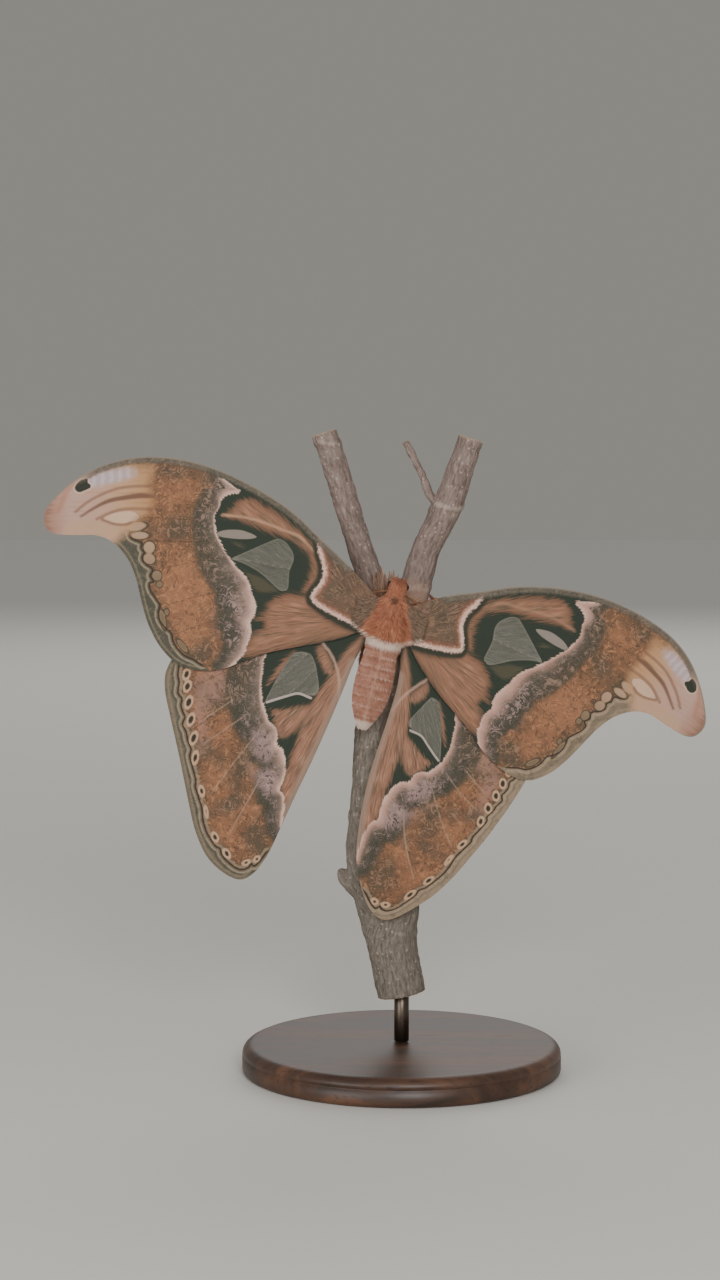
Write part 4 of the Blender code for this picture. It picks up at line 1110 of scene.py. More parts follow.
def paint_costa(brush, mark, colour):
    """The grey band along the front edge."""
    grey = brush.layers(COSTA_GREY, ((62, 60, 50), mark["Dark"], 0.6), ((132, 120, 104), mark["Pale"], 0.5))
    costa = brush.rise(brush.plus(mark["costa"], brush.times(mark["ragged"], 1.5)), 2.7, 1.5)
    costa = brush.times(costa, brush.rise(mark["inward"], 108.0, 98.0))
    return brush.layers(
        colour,
        (grey, costa, 0.92),
        ((60, 58, 48), brush.stripe(mark["costa"], 1.9, 2.4, 0.3), costa, 0.5),
        ((132, 121, 107), brush.rise(mark["costa"], 0.6, 0.3), 0.8),
    )


def finish_forewing():
    material, brush, shader, mark = start_wing("forewing_scales", fore_numbers, 0.007)
    colour = paint_base(brush, mark, paint_fore_inner(brush, mark))
    colour = paint_outer_field(brush, mark, colour)
    moon_tone = brush.over(brush.rise(mark["height"], 12.0, 29.0), (170, 138, 112), (114, 97, 75))
    colour = paint_margin(brush, mark, colour, {**FORE_MOON_LOOK, "inside": moon_tone})
    colour = paint_costa(brush, mark, paint_tip(brush, mark, colour))
    clear = brush.most(brush.rise(mark["pane"], *PANE_EDGE), brush.rise(mark["sliver"], *PANE_EDGE))
    finish_wing(brush, shader, mark, colour, clear)
    return material


forewing_finish = finish_forewing()
print("forewing nodes:", len(forewing_finish.node_tree.nodes))


# %% The forewings themselves
def add_wing(name, flat, faces, numbers, veins, root_rise, spread, finish):
    """A closed film with its veins, on the left as drawn or on the right through the spread map."""
    places = spread(flat) if spread else flat
    middle = wing_rise(places, root_rise)
    vein, relief = vein_relief(flat, veins)
    thin = 0.5 * FILM_THICKNESS * np.clip(0.35 + numbers["edge"] / 1.5, 0, 1)
    top = in_world(places, middle + relief + thin)
    bottom = in_world(places, middle + relief - thin)
    count = len(flat)
    rim = {(a, b) for face in faces.tolist() for a, b in zip(face, face[1:] + face[:1])}
    skirt = []
    for a, b in rim:
        if (b, a) not in rim:
            skirt.append((b, a, a + count))
            skirt.append((b, a + count, b + count))
    skin = [*faces.tolist(), *(faces[:, ::-1] + count).tolist(), *skirt]
    doubled = {key: np.concatenate([values, values]) for key, values in numbers.items()}
    doubled["under"] = np.repeat([0.0, 1.0], count)
    # right is 1 on the right wings, which the finishes paint paler as painted light.
    doubled["right"] = np.full(2 * count, 1.0 if spread else 0.0)
    doubled["vein"] = np.concatenate([vein, vein])
    return add_piece(name + "_film", np.vstack([top, bottom]), skin, finish, [name], doubled)


def add_wings(kind, pairs, span, root_rise, *drawing):
    """The left and the right wing of a kind."""
    flat, faces, numbers, veins, finish = drawing
    for side, spread in (("left", None), ("right", spread_map(pairs, span, root_rise))):
        add_wing(f"{kind}_{side}", flat, faces, numbers, veins, root_rise, spread, finish)


add_wings(
    "forewing", FOREWING_SPREAD, FOREWING_ROOT, FOREWING_RISE,
    fore_flat, fore_faces, fore_numbers, FOREWING_VEINS, forewing_finish,
)

# %% [markdown]
# ## Hindwing: the drawing
#
# The hindwing repeats the plan of the forewing: a white scalloped line, an outer field in bands, a
# wavy line and a chain of spots, each a dark oval in a pale ring. Inside the white line lie a clear
# pane with a pale lower edge and a broad band of orange hair along the inner margin.

# %% Lines and shapes of the hindwing
HIND_MIDDLE_LINE = (
    (-39.2, 2.0), (-39.9, -5.1), (-40.5, -10.2), (-41.4, -12.1), (-41.7, -16.3), (-42.3, -20.3),
    (-41.9, -23.9), (-41.4, -27.3), (-40.5, -30.3), (-39.7, -33.1), (-38.1, -34.3), (-37.0, -36.1),
    (-36.8, -38.5), (-37.1, -41.0), (-35.6, -41.9), (-34.5, -44.0), (-34.1, -46.8), (-34.2, -50.9),
    (-35.0, -53.9), (-36.1, -56.7), (-35.0, -58.2), (-34.4, -60.1), (-34.4, -63.1), (-34.9, -66.1),
    (-35.6, -69.6),
)
HIND_PANE = (
    (-41.2, -26.5), (-37.2, -18.8), (-32.5, -11.2), (-30.7, -9.5), (-28.4, -9.1), (-26.3, -9.5),
    (-24.8, -10.6), (-23.3, -15.2), (-23.0, -23.4), (-29.4, -23.9), (-35.8, -24.9),
)
HIND_PANE_RIM = ((-40.4, -26.5), (-33.5, -24.3), (-29.5, -23.45), (-25.2, -25.0))
HIND_INNER_LINE = (
    (-22.8, -1.8), (-21.2, -6.0), (-18.7, -9.5), (-16.5, -14.3), (-15.6, -19.1), (-15.8, -24.0),
)
HIND_WAVY_LINE = (
    (-70.2, -12.2), (-70.9, -17.2), (-70.5, -20.0), (-70.9, -23.6), (-69.6, -25.4), (-69.9, -27.9),
    (-69.1, -30.6), (-68.5, -31.8), (-69.4, -34.3), (-68.2, -37.0), (-67.6, -40.1), (-66.5, -43.1),
    (-67.0, -45.3), (-66.1, -49.2), (-65.0, -53.6), (-65.2, -56.1), (-64.1, -59.7), (-63.0, -63.4),
    (-62.7, -67.3), (-61.8, -71.0), (-60.3, -74.0), (-58.4, -76.8), (-56.8, -77.7), (-56.3, -79.8),
    (-54.2, -82.3), (-51.5, -84.4), (-49.0, -85.0), (-46.9, -84.1), (-46.1, -82.9), (-45.0, -83.8),
    (-43.0, -81.9), (-40.5, -78.5),
)
HIND_WARM_FIELDS = (
    (
        (-7.0, -3.0), (-12.5, -8.0), (-17.0, -14.5), (-22.6, -23.0), (-27.8, -33.0), (-32.6, -47.4),
        (-35.0, -53.0), (-35.6, -66.1), (-33.5, -66.5), (-30.2, -57.8), (-24.6, -46.0),
        (-18.6, -32.5), (-14.2, -22.0), (-10.6, -13.0),
    ),
    ((-38.7, -29.5), (-25.2, -27.8), (-27.0, -32.0), (-35.2, -38.7)),
    ((-40.2, -20.5), (-36.5, -14.5), (-31.2, -9.2), (-32.2, -11.2), (-36.0, -16.8)),
    ((-21.5, -7.0), (-19.0, -11.0), (-17.5, -15.5), (-18.6, -17.5), (-21.6, -14.0), (-23.0, -8.5)),
)
HIND_SPOTS = (
    (-67.9, -17.0, 0.9, 1.6, -20), (-67.6, -21.2, 0.95, 1.6, -20), (-67.2, -26.7, 1.0, 1.8, -20),
    (-66.5, -32.7, 0.95, 1.8, -20), (-65.6, -39.1, 0.95, 1.9, -20), (-65.1, -45.9, 0.8, 1.8, -12),
    (-63.0, -57.5, 0.7, 1.4, 10), (-61.5, -64.7, 0.4, 1.2, 8), (-58.5, -73.6, 0.8, 1.3, 25),
    (-54.5, -79.4, 0.8, 1.4, 30), (-47.8, -82.5, 1.0, 0.6, 25), (-44.1, -81.2, 0.9, 0.6, 45),
)
HIND_PALE_VEINS = (
    ((-61.8, -32.3), (-51.8, -25.6)), ((-62.3, -41.2), (-46.8, -30.4)),
    ((-60.1, -58.9), (-51.8, -47.5), (-42.9, -36.2)), ((-54.0, -73.3), (-41.8, -51.2)),
)
HIND_GLOWS = (
    (-58.0, -52.0, 5.5, 10.0, 0), (-54.0, -36.0, 5.0, 6.0, -20), (-46.5, -64.0, 4.5, 6.0, 10),
    (-55.0, -72.0, 4.0, 5.0, 0), (-62.5, -12.0, 4.0, 4.0, 0),
)
HIND_ROSES = (
    (-41.0, -47.0, 6.0, 15.0, 6), (-57.5, -19.5, 6.5, 5.5, 20), (-44.0, -8.0, 3.5, 9.0, 0),
    (-63.0, -30.0, 3.0, 10.0, 0),
)
HIND_DUSKS = (
    (-58.0, -23.5, 8.0, 6.0, 0), (-47.0, -14.0, 5.0, 10.0, 0), (-49.5, -49.0, 3.5, 8.0, -25),
    (-44.0, -73.0, 4.0, 6.0, 10), (-62.0, -43.5, 3.5, 3.5, 0), (-53.0, -61.5, 5.0, 2.6, 20),
    (-56.3, -46.0, 3.0, 3.5, 0),
)
HIND_LILAC_PATCHES = (
    ((-45.0, -37.0), (-39.8, -37.5), (-39.4, -42.0), (-40.2, -47.0), (-44.5, -44.0)),
    ((-44.0, -50.6), (-38.0, -50.2), (-37.6, -54.0), (-38.6, -57.8), (-43.0, -56.0)),
)
HIND_BAND_ENDS = (
    (2.0, (1.2, 8.0, 11.0)), (-8.0, (1.3, 9.0, 12.0)), (-20.0, (1.6, 11.0, 13.5)),
    (-33.0, (2.3, 10.5, 13.5)), (-45.0, (2.6, 8.5, 11.5)), (-55.0, (2.4, 8.0, 11.0)),
    (-66.0, (1.8, 6.0, 8.5)), (-72.0, (1.0, 4.0, 6.0)),
)
INNER_MARGIN = (-6, -1)  # margin places of the inner margin's greyish edge
HIND_ROOT_MIDDLE = (-4.0, -3.0)

# %% The hindwing's numbers
hind_numbers = wing_numbers(
    hind_flat, hind_outline, HINDWING_MARGIN, HIND_ROOT_MIDDLE,
    (HIND_MIDDLE_LINE, HIND_WAVY_LINE, HIND_INNER_LINE), HIND_BAND_ENDS,
    {"pane": [HIND_PANE], "warm": HIND_WARM_FIELDS, "lilac": HIND_LILAC_PATCHES},
    {"pane_rim": [HIND_PANE_RIM], "pale_veins": HIND_PALE_VEINS},
    {"moons": HIND_SPOTS, "glow": HIND_GLOWS, "rosy": HIND_ROSES, "dusk": HIND_DUSKS},
)
hind_numbers["inner_margin"] = off_margin(hind_flat, hind_outline, HINDWING_MARGIN, *INNER_MARGIN)
print("hindwing numbers:", len(hind_numbers))

# %% The hindwing's finish
NO_SLIVER = 9.0  # the hindwing has one pane only, so its distance to a second one is large
HIND_FUR = {
    "fuzz": 2.8, "sway": 1.2, "deep_share": 0.45,
    "strands": ((0.28, 66, 58, 47), (0.42, 114, 86, 68), (0.56, 152, 112, 89), (0.72, 196, 155, 130)),
    "deep": ((0.34, 92, 80, 66), (0.5, 144, 100, 78), (0.66, 166, 118, 96)),
}
HIND_MOON_LOOK = {
    "ring": 0.5, "ring_tone": (186, 152, 122), "rim_tone": (92, 74, 56), "inside": (52, 48, 38),
    "rim": (108, 97, 80), "dark": (1.5, 2.3), "grow": 0.12,
}


def finish_hindwing():
    material, brush, shader, mark = start_wing("hindwing_scales", hind_numbers, 0.008)
    mark["sliver"] = NO_SLIVER
    fuzzy, furry = paint_fur(brush, mark, HIND_FUR)
    inner = brush.plus(mark["inner"], brush.times(mark["ragged"], 0.8))
    strip = brush.rise(brush.plus(mark["inner_margin"], brush.times(mark["streak"], 0.8)), 2.6, 1.2)
    colour = brush.layers(
        SOOT,
        (furry, brush.rise(fuzzy, 0.9, -0.7)),
        ((186, 150, 132), brush.stripe(inner, -0.45, 0.45, 0.4), 0.65),
        ((148, 126, 110), strip, 0.65),
    )
    colour = paint_outer_field(brush, mark, colour)
    outer = brush.rise(mark["field"], 0.4, 1.4)
    lilac = brush.times(brush.rise(mark["lilac"], 2.4, -2.0), outer, 0.5)
    inside_wavy = brush.plus(mark["wavy"], mark["ragged"])
    colour = brush.layers(
        colour,
        ((178, 145, 141), lilac, brush.rise(mark["Dark"], 0.8, 0.2)),
        ((172, 144, 124), brush.rise(mark["pale_veins"], 0.4, 0.1), outer, 0.5),
        (PALE_OLIVE, brush.stripe(inside_wavy, -1.3, -0.5, 0.25), 0.8),
    )
    colour = paint_margin(brush, mark, colour, HIND_MOON_LOOK)
    colour = brush.over(brush.rise(mark["pane_rim"], 0.6, 0.25), (176, 160, 152), colour)
    clear = brush.times(brush.rise(mark["pane"], *PANE_EDGE), brush.rise(mark["pane_rim"], 0.3, 0.8))
    finish_wing(brush, shader, mark, colour, clear)
    return material


hindwing_finish = finish_hindwing()
print("hindwing nodes:", len(hindwing_finish.node_tree.nodes))

# %% The hindwings themselves
add_wings(
    "hindwing", HINDWING_SPREAD, HINDWING_ROOT, HINDWING_RISE,
    hind_flat, hind_faces, hind_numbers, HINDWING_VEINS, hindwing_finish,
)

# %% [markdown]
# ## Body: skin and markings
#
# Head, thorax and abdomen are one skin without seams, a row of rings along the leaning axis. It lies
# inside the CAD solids by the depth of the coat that grows on it. The same markings colour the skin
# and the tufts, from where each spot is on the body: rust on the thorax, a white collar behind it,
# pale cross lines on the salmon abdomen and a white tail tip.

# %% The skin
SKIN_PROFILE = (  # along, half width, half depth, how far the ring's middle stands out
    (-36.9, 0.5, 0.5, 0.0), (-36.3, 1.6, 1.5, 0.0), (-35.2, 2.3, 2.1, 0.0), (-33.0, 3.5, 3.2, 0.0),
    (-29.0, 5.2, 4.8, 0.0), (-24.0, 6.1, 5.6, 0.0), (-18.0, 6.2, 5.7, 0.0), (-12.0, 5.5, 5.1, 0.0),
    (-8.0, 5.2, 5.0, 0.0), (-6.0, 5.4, 5.2, 0.0), (-3.0, 5.6, 5.4, 0.0), (1.0, 5.3, 5.1, 0.0),
    (4.5, 4.7, 4.5, 0.0), (8.0, 3.7, 3.6, -0.2), (10.2, 2.7, 2.7, -0.6), (11.6, 2.3, 2.2, -0.9),
    (13.6, 2.4, 2.1, -1.0), (15.2, 1.9, 1.7, -1.0), (16.0, 1.2, 1.1, -1.0), (16.4, 0.3, 0.3, -1.0),
)
SKIN_STEP = 0.35
SKIN_SIDES = 72
SEGMENT_LENGTH = 3.48
SEGMENT_START = -7.8
SEGMENT_FOLD = 0.32


def skin_rings():
    """Rows of (along, half width, half depth, rise), with a fold behind each segment."""
    rows = smooth_line(SKIN_PROFILE, SKIN_STEP)
    part = np.mod((SEGMENT_START - rows[:, 0]) / SEGMENT_LENGTH, 1.0)
    on_abdomen = (rows[:, 0] < SEGMENT_START - 0.5 * SEGMENT_LENGTH) & (rows[:, 0] > -34.5)
    fold = SEGMENT_FOLD * (1 - part) ** 4 * on_abdomen
    rows[:, 1] -= fold
    rows[:, 2] -= fold
    return rows


def body_to_world(places):
    """World millimetres for rows of (side, along, rise) on the leaning body."""
    across, up, rise = from_body(*np.asarray(places, float).T)
    return in_world(np.column_stack([across, up]), rise)


def add_skin(finish):
    rows = skin_rings()
    turn = np.linspace(0, math.tau, SKIN_SIDES, endpoint=False)
    side = rows[:, 1:2] * np.cos(turn)
    rise = rows[:, 3:4] + rows[:, 2:3] * np.sin(turn)
    along = np.repeat(rows[:, :1], SKIN_SIDES, axis=1)
    places = np.stack([side, along, rise], axis=-1).reshape(-1, 3)
    faces = []
    for low in range(0, len(places) - SKIN_SIDES, SKIN_SIDES):
        for k in range(SKIN_SIDES):
            j = (k + 1) % SKIN_SIDES
            faces.append((low + j, low + k, low + SKIN_SIDES + k, low + SKIN_SIDES + j))
    faces.append(tuple(range(SKIN_SIDES)))
    faces.append(tuple(range(len(places) - SKIN_SIDES, len(places)))[::-1])
    marks = {"side": places[:, 0], "along": places[:, 1], "out": places[:, 2]}
    marks["lot"] = np.full(len(places), 0.4)
    hides = ["head", "thorax", "abdomen"]
    add_piece("body_skin", body_to_world(places), faces, finish, hides, marks)


# %% The markings of the body
SALMON = (172, 120, 98)
SALMON_DEEP = (138, 92, 74)
RUST_FUR = (166, 102, 74)
RUST_DEEP = (112, 68, 50)
COLLAR_WHITE = (216, 194, 178)
TAIL_WHITE = (210, 188, 172)
BODY_MARKS = {"side": 0.0, "along": 0.0, "out": 0.0, "lot": 0.5}


def build_body_marks():
    """Colour of the coat by the place on the body, and by lot, a number drawn for each tuft."""
    tree, brush, given, result = new_group("body_marks", BODY_MARKS, ["Colour"])
    side, along, out, lot = (given[key] for key in BODY_MARKS)
    place = brush.joined(side, along, out)
    cloud = brush.noise(place, 2.2)
    wobble = brush.shift(brush.noise(place, 0.9), 0.09)

    wedge = brush.most(brush.scaled(along, -0.42, 6.4), 3.4)
    beyond = brush.plus(brush.minus(brush.math("ABSOLUTE", side), wedge), brush.shift(cloud, 1.2))
    shoulder = brush.ramp(lot, ((0.1, 84, 70, 58), (0.5, 112, 90, 73), (0.9, 140, 116, 96)))
    dark_spot = brush.plus(brush.math("POWER", brush.minus(along, 9.4), 2.0), brush.times(side, side, 1.4))
    rust = brush.layers(
        brush.ramp(
            brush.plus(brush.times(lot, 0.5), brush.times(cloud, 0.6)),
            ((0.2, *RUST_DEEP), (0.52, *RUST_FUR), (0.86, 192, 136, 104)),
        ),
        (shoulder, brush.rise(beyond, -0.6, 1.0)),
        ((84, 56, 44), brush.rise(dark_spot, 1.8, 0.4), 0.7),
    )

    part = brush.math("FRACT", brush.times(brush.minus(SEGMENT_START, along), 1 / SEGMENT_LENGTH))
    halves = brush.math("FRACT", brush.times(part, 2.0))
    brushed = brush.joined(brush.times(side, 0.22), brush.times(along, 1.5), brush.times(out, 0.22))
    cross = brush.noise(brushed, 1.0)
    line = brush.stripe(brush.plus(part, wobble), 0.8, 0.89, 0.05)
    line = brush.most(line, brush.times(brush.stripe(brush.plus(halves, wobble), 0.8, 0.9, 0.09), 0.5))
    faded = brush.scaled(brush.rise(cross, 0.4, 0.56), 0.5, 0.3)
    spine = brush.rise(brush.math("ABSOLUTE", brush.plus(side, brush.times(wobble, 4.0))), 0.8, 0.1)
    tail = brush.rise(brush.plus(along, brush.times(wobble, 4.0)), -32.7, -33.8)
    salmon = brush.layers(
        brush.ramp(
            brush.plus(brush.times(lot, 0.4), brush.times(cloud, 0.7)),
            ((0.2, *SALMON_DEEP), (0.55, *SALMON), (0.9, 190, 142, 120)),
        ),
        ((198, 152, 132), brush.rise(cross, 0.52, 0.66), 0.4),
        ((132, 90, 74), brush.rise(cross, 0.46, 0.34), 0.4),
        ((220, 186, 168), line, faded),
        ((112, 72, 58), brush.rise(part, 0.12, 0.02), 0.6),
        ((208, 172, 152), spine, brush.rise(out, 0.0, 1.5), 0.3),
        ((206, 166, 142), brush.rise(out, -1.0, -4.0)),
        (TAIL_WHITE, tail),
    )

    bow = brush.minus(along, brush.scaled(brush.times(side, side), 0.022, -5.2))
    bow = brush.plus(bow, brush.times(wobble, 3.0))
    collar = brush.stripe(bow, -1.35, 1.1, 0.35)
    colour = brush.layers(salmon, (rust, brush.rise(bow, -0.6, 0.2)), (COLLAR_WHITE, collar))
    brush.feed(result["Colour"], colour)
    return tree


body_marks = build_body_marks()


def finish_fur(name, strength):
    """Fur or the skin under it, marked by the place on the body."""
    even = {"Roughness": 0.85, "Sheen_Weight": 0.15, "Specular_IOR_Level": 0.25}
    material, brush, shader = new_finish(name, **even)
    colour = brush.group(body_marks, **{key: brush.mark(key) for key in BODY_MARKS})["Colour"]
    fuzz = brush.noise(brush.place(), 0.0003)
    brush.dress(shader, Base_Color=colour, Normal=brush.bump(fuzz, strength, 0.1))
    return material


skin_finish = finish_fur("body_skin", 0.5)
coat_finish = finish_fur("body_fur", 0.15)
add_skin(skin_finish)

# %% [markdown]
# ## Body: the coat
#
# The coat is made of thousands of thin tufts, each a closed three-sided spike that bends back towards
# the body. They are built in one go with arrays. A tuft lies along the coat's direction: on the
# thorax long and shaggy, on the abdomen short and flat, on the face shortest.

# %% Tufts from arrays
TUFT_CORNERS = np.array([(-0.5, 0.0), (0.5, 0.0), (0.0, 0.45)])
TUFT_FACES = np.array([
    (0, 2, 1), (0, 1, 4), (0, 4, 3), (1, 2, 5), (1, 5, 4), (2, 0, 3), (2, 3, 5), (3, 4, 6), (4, 5, 6),
    (5, 3, 6),
])
PATCH_PLACES = np.array([(0, 0), (1, 0), (0.5, 0.15), (0.1, 0.6), (0.9, 0.6), (0.5, 0.7), (0.5, 1)])
PATCH_SIZE = 0.003


def unit(vectors):
    return vectors / np.linalg.norm(vectors, axis=1, keepdims=True)


def grow_tufts(roots, normals, lies, lengths, widths, raise_first, raise_last):
    """Corner places of the tufts: a foot, a middle and a tip, all in body or world directions."""
    lies = unit(lies - normals * (lies * normals).sum(1, keepdims=True))
    beside = np.cross(lies, normals)

    def heading(angle):
        return lies * np.cos(angle)[:, None] + normals * np.sin(angle)[:, None]

    half = 0.5 * lengths[:, None]
    middle = roots + heading(raise_first) * half
    tip = middle + heading(raise_last) * half
    corners = np.empty((len(roots), 7, 3))
    for i, (a, b) in enumerate(TUFT_CORNERS):
        spread = (beside * a + normals * b) * widths[:, None]
        corners[:, i] = roots - normals * 0.25 + spread
        corners[:, 3 + i] = middle + spread * 0.8
    corners[:, 6] = tip
    return corners


def add_coat(name, corners, places, finish, marks):
    """A joined mesh of tufts, with a patch of the unwrapped body for each tuft in the map OFBake."""
    count = len(corners)
    faces = (TUFT_FACES[None] + 7 * np.arange(count)[:, None, None]).reshape(-1, 3)
    spread = {key: np.repeat(values, 7) for key, values in marks.items()}
    piece = add_piece(name, corners.reshape(-1, 3), faces.tolist(), finish, marks=spread)
    layer = piece.data.uv_layers.new(name="OFBake")
    patch = (places[:, None] + PATCH_PLACES[None] * PATCH_SIZE).reshape(-1, 2)
    layer.data.foreach_set("uv", patch[faces.reshape(-1)].astype(np.float32).reshape(-1))


def add_on_body(name, corners, roots, chart, draw):
    """A coat given in body places, with the marks of its roots and a lot drawn for each tuft."""
    corners = body_to_world(corners.reshape(-1, 3)).reshape(corners.shape)
    marks = dict(zip(("side", "along", "out"), roots.T))
    marks["lot"] = draw.uniform(0, 1, len(roots))
    add_coat(name, corners, chart, coat_finish, marks)


def skin_roots(draw, count, start, end):
    """Random places on the skin between two places along it, evenly by area."""
    rows = smooth_line(SKIN_PROFILE, 0.5)
    rows = rows[(rows[:, 0] >= start) & (rows[:, 0] <= end)]
    weight = np.cumsum(rows[:, 1])
    spot = np.interp(draw.uniform(weight[0], weight[-1], count), weight, np.arange(len(rows)))
    along, wide, deep, rise = (np.interp(spot, np.arange(len(rows)), rows[:, i]) for i in range(4))
    slope = np.interp(spot, np.arange(len(rows)), np.gradient(rows[:, 1], rows[:, 0]))
    turn = draw.uniform(0, math.tau, count)
    places = np.column_stack([wide * np.cos(turn), along, rise + deep * np.sin(turn)])
    normals = unit(np.column_stack([np.cos(turn) / wide, -slope / wide, np.sin(turn) / deep]))
    span = SKIN_PROFILE[-1][0] - SKIN_PROFILE[0][0]
    chart = np.column_stack([turn / math.tau, (along - SKIN_PROFILE[0][0]) / span]) * (1 - PATCH_SIZE)
    return places, normals, chart


def add_body_coat(name, seed, count, start, end, length, width, raised):
    """One stretch of the body's coat."""
    draw = np.random.default_rng(seed)
    roots, normals, chart = skin_roots(draw, count, start, end)
    sideways = draw.normal(0, 0.22, count)
    lies = np.column_stack([sideways, np.full(count, -1.0), draw.normal(0, 0.15, count)])
    lies[:, 0] += 0.35 * np.sign(roots[:, 0]) * np.minimum(np.abs(roots[:, 0]) / 3, 1)
    lengths = length * draw.uniform(0.65, 1.25, count)
    widths = width * draw.uniform(0.7, 1.3, count)
    first = np.radians(raised * draw.uniform(0.6, 1.5, count))
    last = np.radians(raised * draw.uniform(-0.6, 0.8, count))
    corners = grow_tufts(roots, normals, lies, lengths, widths, first, last)
    add_on_body(name, corners, roots, chart, draw)


# %% The coat
add_body_coat("thorax_coat", 11, 15000, -7.4, 10.8, 2.6, 0.26, 24.0)
add_body_coat("abdomen_coat", 12, 18500, -36.4, -7.0, 1.15, 0.17, 15.0)
add_body_coat("head_coat", 13, 6500, 9.4, 16.3, 1.7, 0.16, 30.0)

# %% [markdown]
# ## Eyes
#
# Each eye is a dark dome of many small facets, half sunk in the head's fur. A finely divided ball with
# a cell pattern in its relief gives the dull sparkle of the real one.

# %% The eyes
HEAD_CENTRE = 13.6
HEAD_RISE = -1.0
EYE_PLACE = (2.55, 0.2, -0.4)
EYE_RADIUS = 1.22


def round_ball(centre, radius, rings=20, sides=32):
    """Points and faces of a closed ball at a world place."""
    polar = np.linspace(0, math.pi, rings + 1)[1:-1]
    turn = np.linspace(0, math.tau, sides, endpoint=False)
    rows = np.stack([
        np.outer(np.sin(polar), np.cos(turn)), np.outer(np.sin(polar), np.sin(turn)),
        np.outer(np.cos(polar), np.ones(sides)),
    ], axis=-1).reshape(-1, 3)
    points = np.vstack([rows, (0, 0, 1), (0, 0, -1)]) * radius + centre
    faces = []
    for i in range(rings - 2):
        for k in range(sides):
            j = (k + 1) % sides
            faces.append((i * sides + k, (i + 1) * sides + k, (i + 1) * sides + j, i * sides + j))
    last = (rings - 2) * sides
    faces += [(len(rows), k, (k + 1) % sides) for k in range(sides)]
    faces += [(len(rows) + 1, last + (k + 1) % sides, last + k) for k in range(sides)]
    return points, faces


eye_finish, eye_brush, eye_shader = new_finish("faceted_eye", Roughness=0.22)
eye_inputs = {"Vector": eye_brush.place(), "Scale": 6500.0}
eye_cells = eye_brush.add("ShaderNodeTexVoronoi", eye_inputs).outputs["Distance"]
eye_tint = eye_brush.ramp(eye_cells, ((0.0, 52, 34, 26), (0.6, 20, 14, 12)))
eye_brush.dress(eye_shader, Base_Color=eye_tint, Normal=eye_brush.bump(eye_cells, 0.4, 0.05))
for eye_name, eye_side in (("left", -1), ("right", 1)):
    eye_out, eye_along, eye_rise = EYE_PLACE
    eye_centre = body_to_world([(eye_side * eye_out, HEAD_CENTRE + eye_along, HEAD_RISE + eye_rise)])[0]
    eye_points, eye_faces = round_ball(eye_centre, EYE_RADIUS)
    add_piece("eye_ball_" + eye_name, eye_points, eye_faces, eye_finish, ["eye_" + eye_name])

# %% [markdown]
# ## Perch: the limbs
#
# The perch is a cut length of one shrub stem with its fork. Each limb is first a plain tapering tube
# along its own line. The tubes are then fused by a voxel remesh, which gives the fork the grown-together
# look of real wood, and the bark is pushed in and out on the fine mesh that this leaves.

# %% Lines of the limbs
STEM_LINE = (  # middle line (across, up, rise), then half width and half depth
    ((4.4, 4.0, -15.5), 6.0, 5.6), ((3.2, -6.0, -15.6), 6.5, 6.0), ((0.3, -20.0, -15.8), 6.5, 6.1),
    ((-3.4, -36.0, -15.9), 6.5, 6.1), ((-4.5, -51.5, -16.0), 6.4, 6.1), ((-5.8, -68.0, -16.2), 6.4, 6.2),
    ((-6.7, -81.0, -16.6), 6.7, 6.4), ((-3.8, -90.5, -17.2), 8.4, 7.2), ((1.0, -99.5, -17.6), 10.8, 8.2),
    ((1.9, -106.5, -17.6), 9.7, 8.0), ((2.8, -114.0, -17.3), 8.6, 7.7),
    ((4.6, -123.0, STEM_FOOT_RISE), 8.4, 7.6), ((6.1, -131.0, STEM_FOOT_RISE), 8.3, 7.6),
)
KNOB_LINE = (
    ((-6.5, -97.0, -17.0), 2.6, 2.6), ((-10.4, -93.0, -16.6), 2.9, 2.7), ((-13.6, -89.6, -16.2), 2.6, 2.4),
    ((-14.9, -87.4, -16.0), 1.7, 1.6), ((-15.3, -86.4, -15.9), 0.8, 0.8),
)
LEFT_BRANCH_LINE = (
    ((3.4, -5.0, -15.4), 4.0, 4.0), ((-0.4, 6.0, -15.0), 4.3, 4.3), ((-5.9, 18.3, -14.4), 4.4, 4.4),
    ((-10.3, 31.4, -14.2), 4.2, 4.2), ((-16.4, 52.2, -14.2), 4.3, 4.3), ((-20.9, 65.5, -14.4), 4.2, 4.2),
)
RIGHT_BRANCH_LINE = (
    ((5.0, -5.0, -15.6), 4.4, 4.4), ((8.8, 4.5, -15.4), 5.0, 5.0), ((12.2, 18.3, -15.0), 5.1, 5.1),
    ((14.9, 26.5, -15.0), 4.7, 4.7), ((22.3, 41.8, -15.0), 4.9, 4.9), ((27.0, 55.5, -15.0), 4.4, 4.4),
    ((29.8, 63.5, -15.0), 4.3, 4.3),
)
SIDE_SHOOT_LINE = (
    ((21.0, 38.5, -14.3), 1.5, 1.5), ((16.0, 43.5, -13.6), 1.5, 1.5), ((13.2, 50.5, -13.2), 1.3, 1.3),
    ((10.2, 56.5, -13.2), 1.15, 1.15), ((7.2, 62.5, -13.4), 0.9, 0.9),
)
LIMB_LINES = (STEM_LINE, LEFT_BRANCH_LINE, RIGHT_BRANCH_LINE, SIDE_SHOOT_LINE, KNOB_LINE)
LIMB_SIDES = 36
BARK_GRAIN = 0.5
BARK_RINGS = (  # limb, up, height
    (0, -51.0, 0.35), (0, -67.5, 0.4), (2, 40.2, 0.55), (1, 62.5, 0.45), (0, -109.0, 0.3), (2, 12.0, 0.4),
)
RING_WIDTH = 1.1
BARK_HEEL = ((11.2, 9.4, 5.0, 3.8, 25),)  # the pale rounded heel of the right branch


def limb_path(line, step=1.0):
    """World places along a limb, with its half widths and half depths."""
    rows = smooth_line([(*place, wide, deep) for place, wide, deep in line], step)
    return in_world(rows[:, :2], rows[:, 2]), rows[:, 3], rows[:, 4]


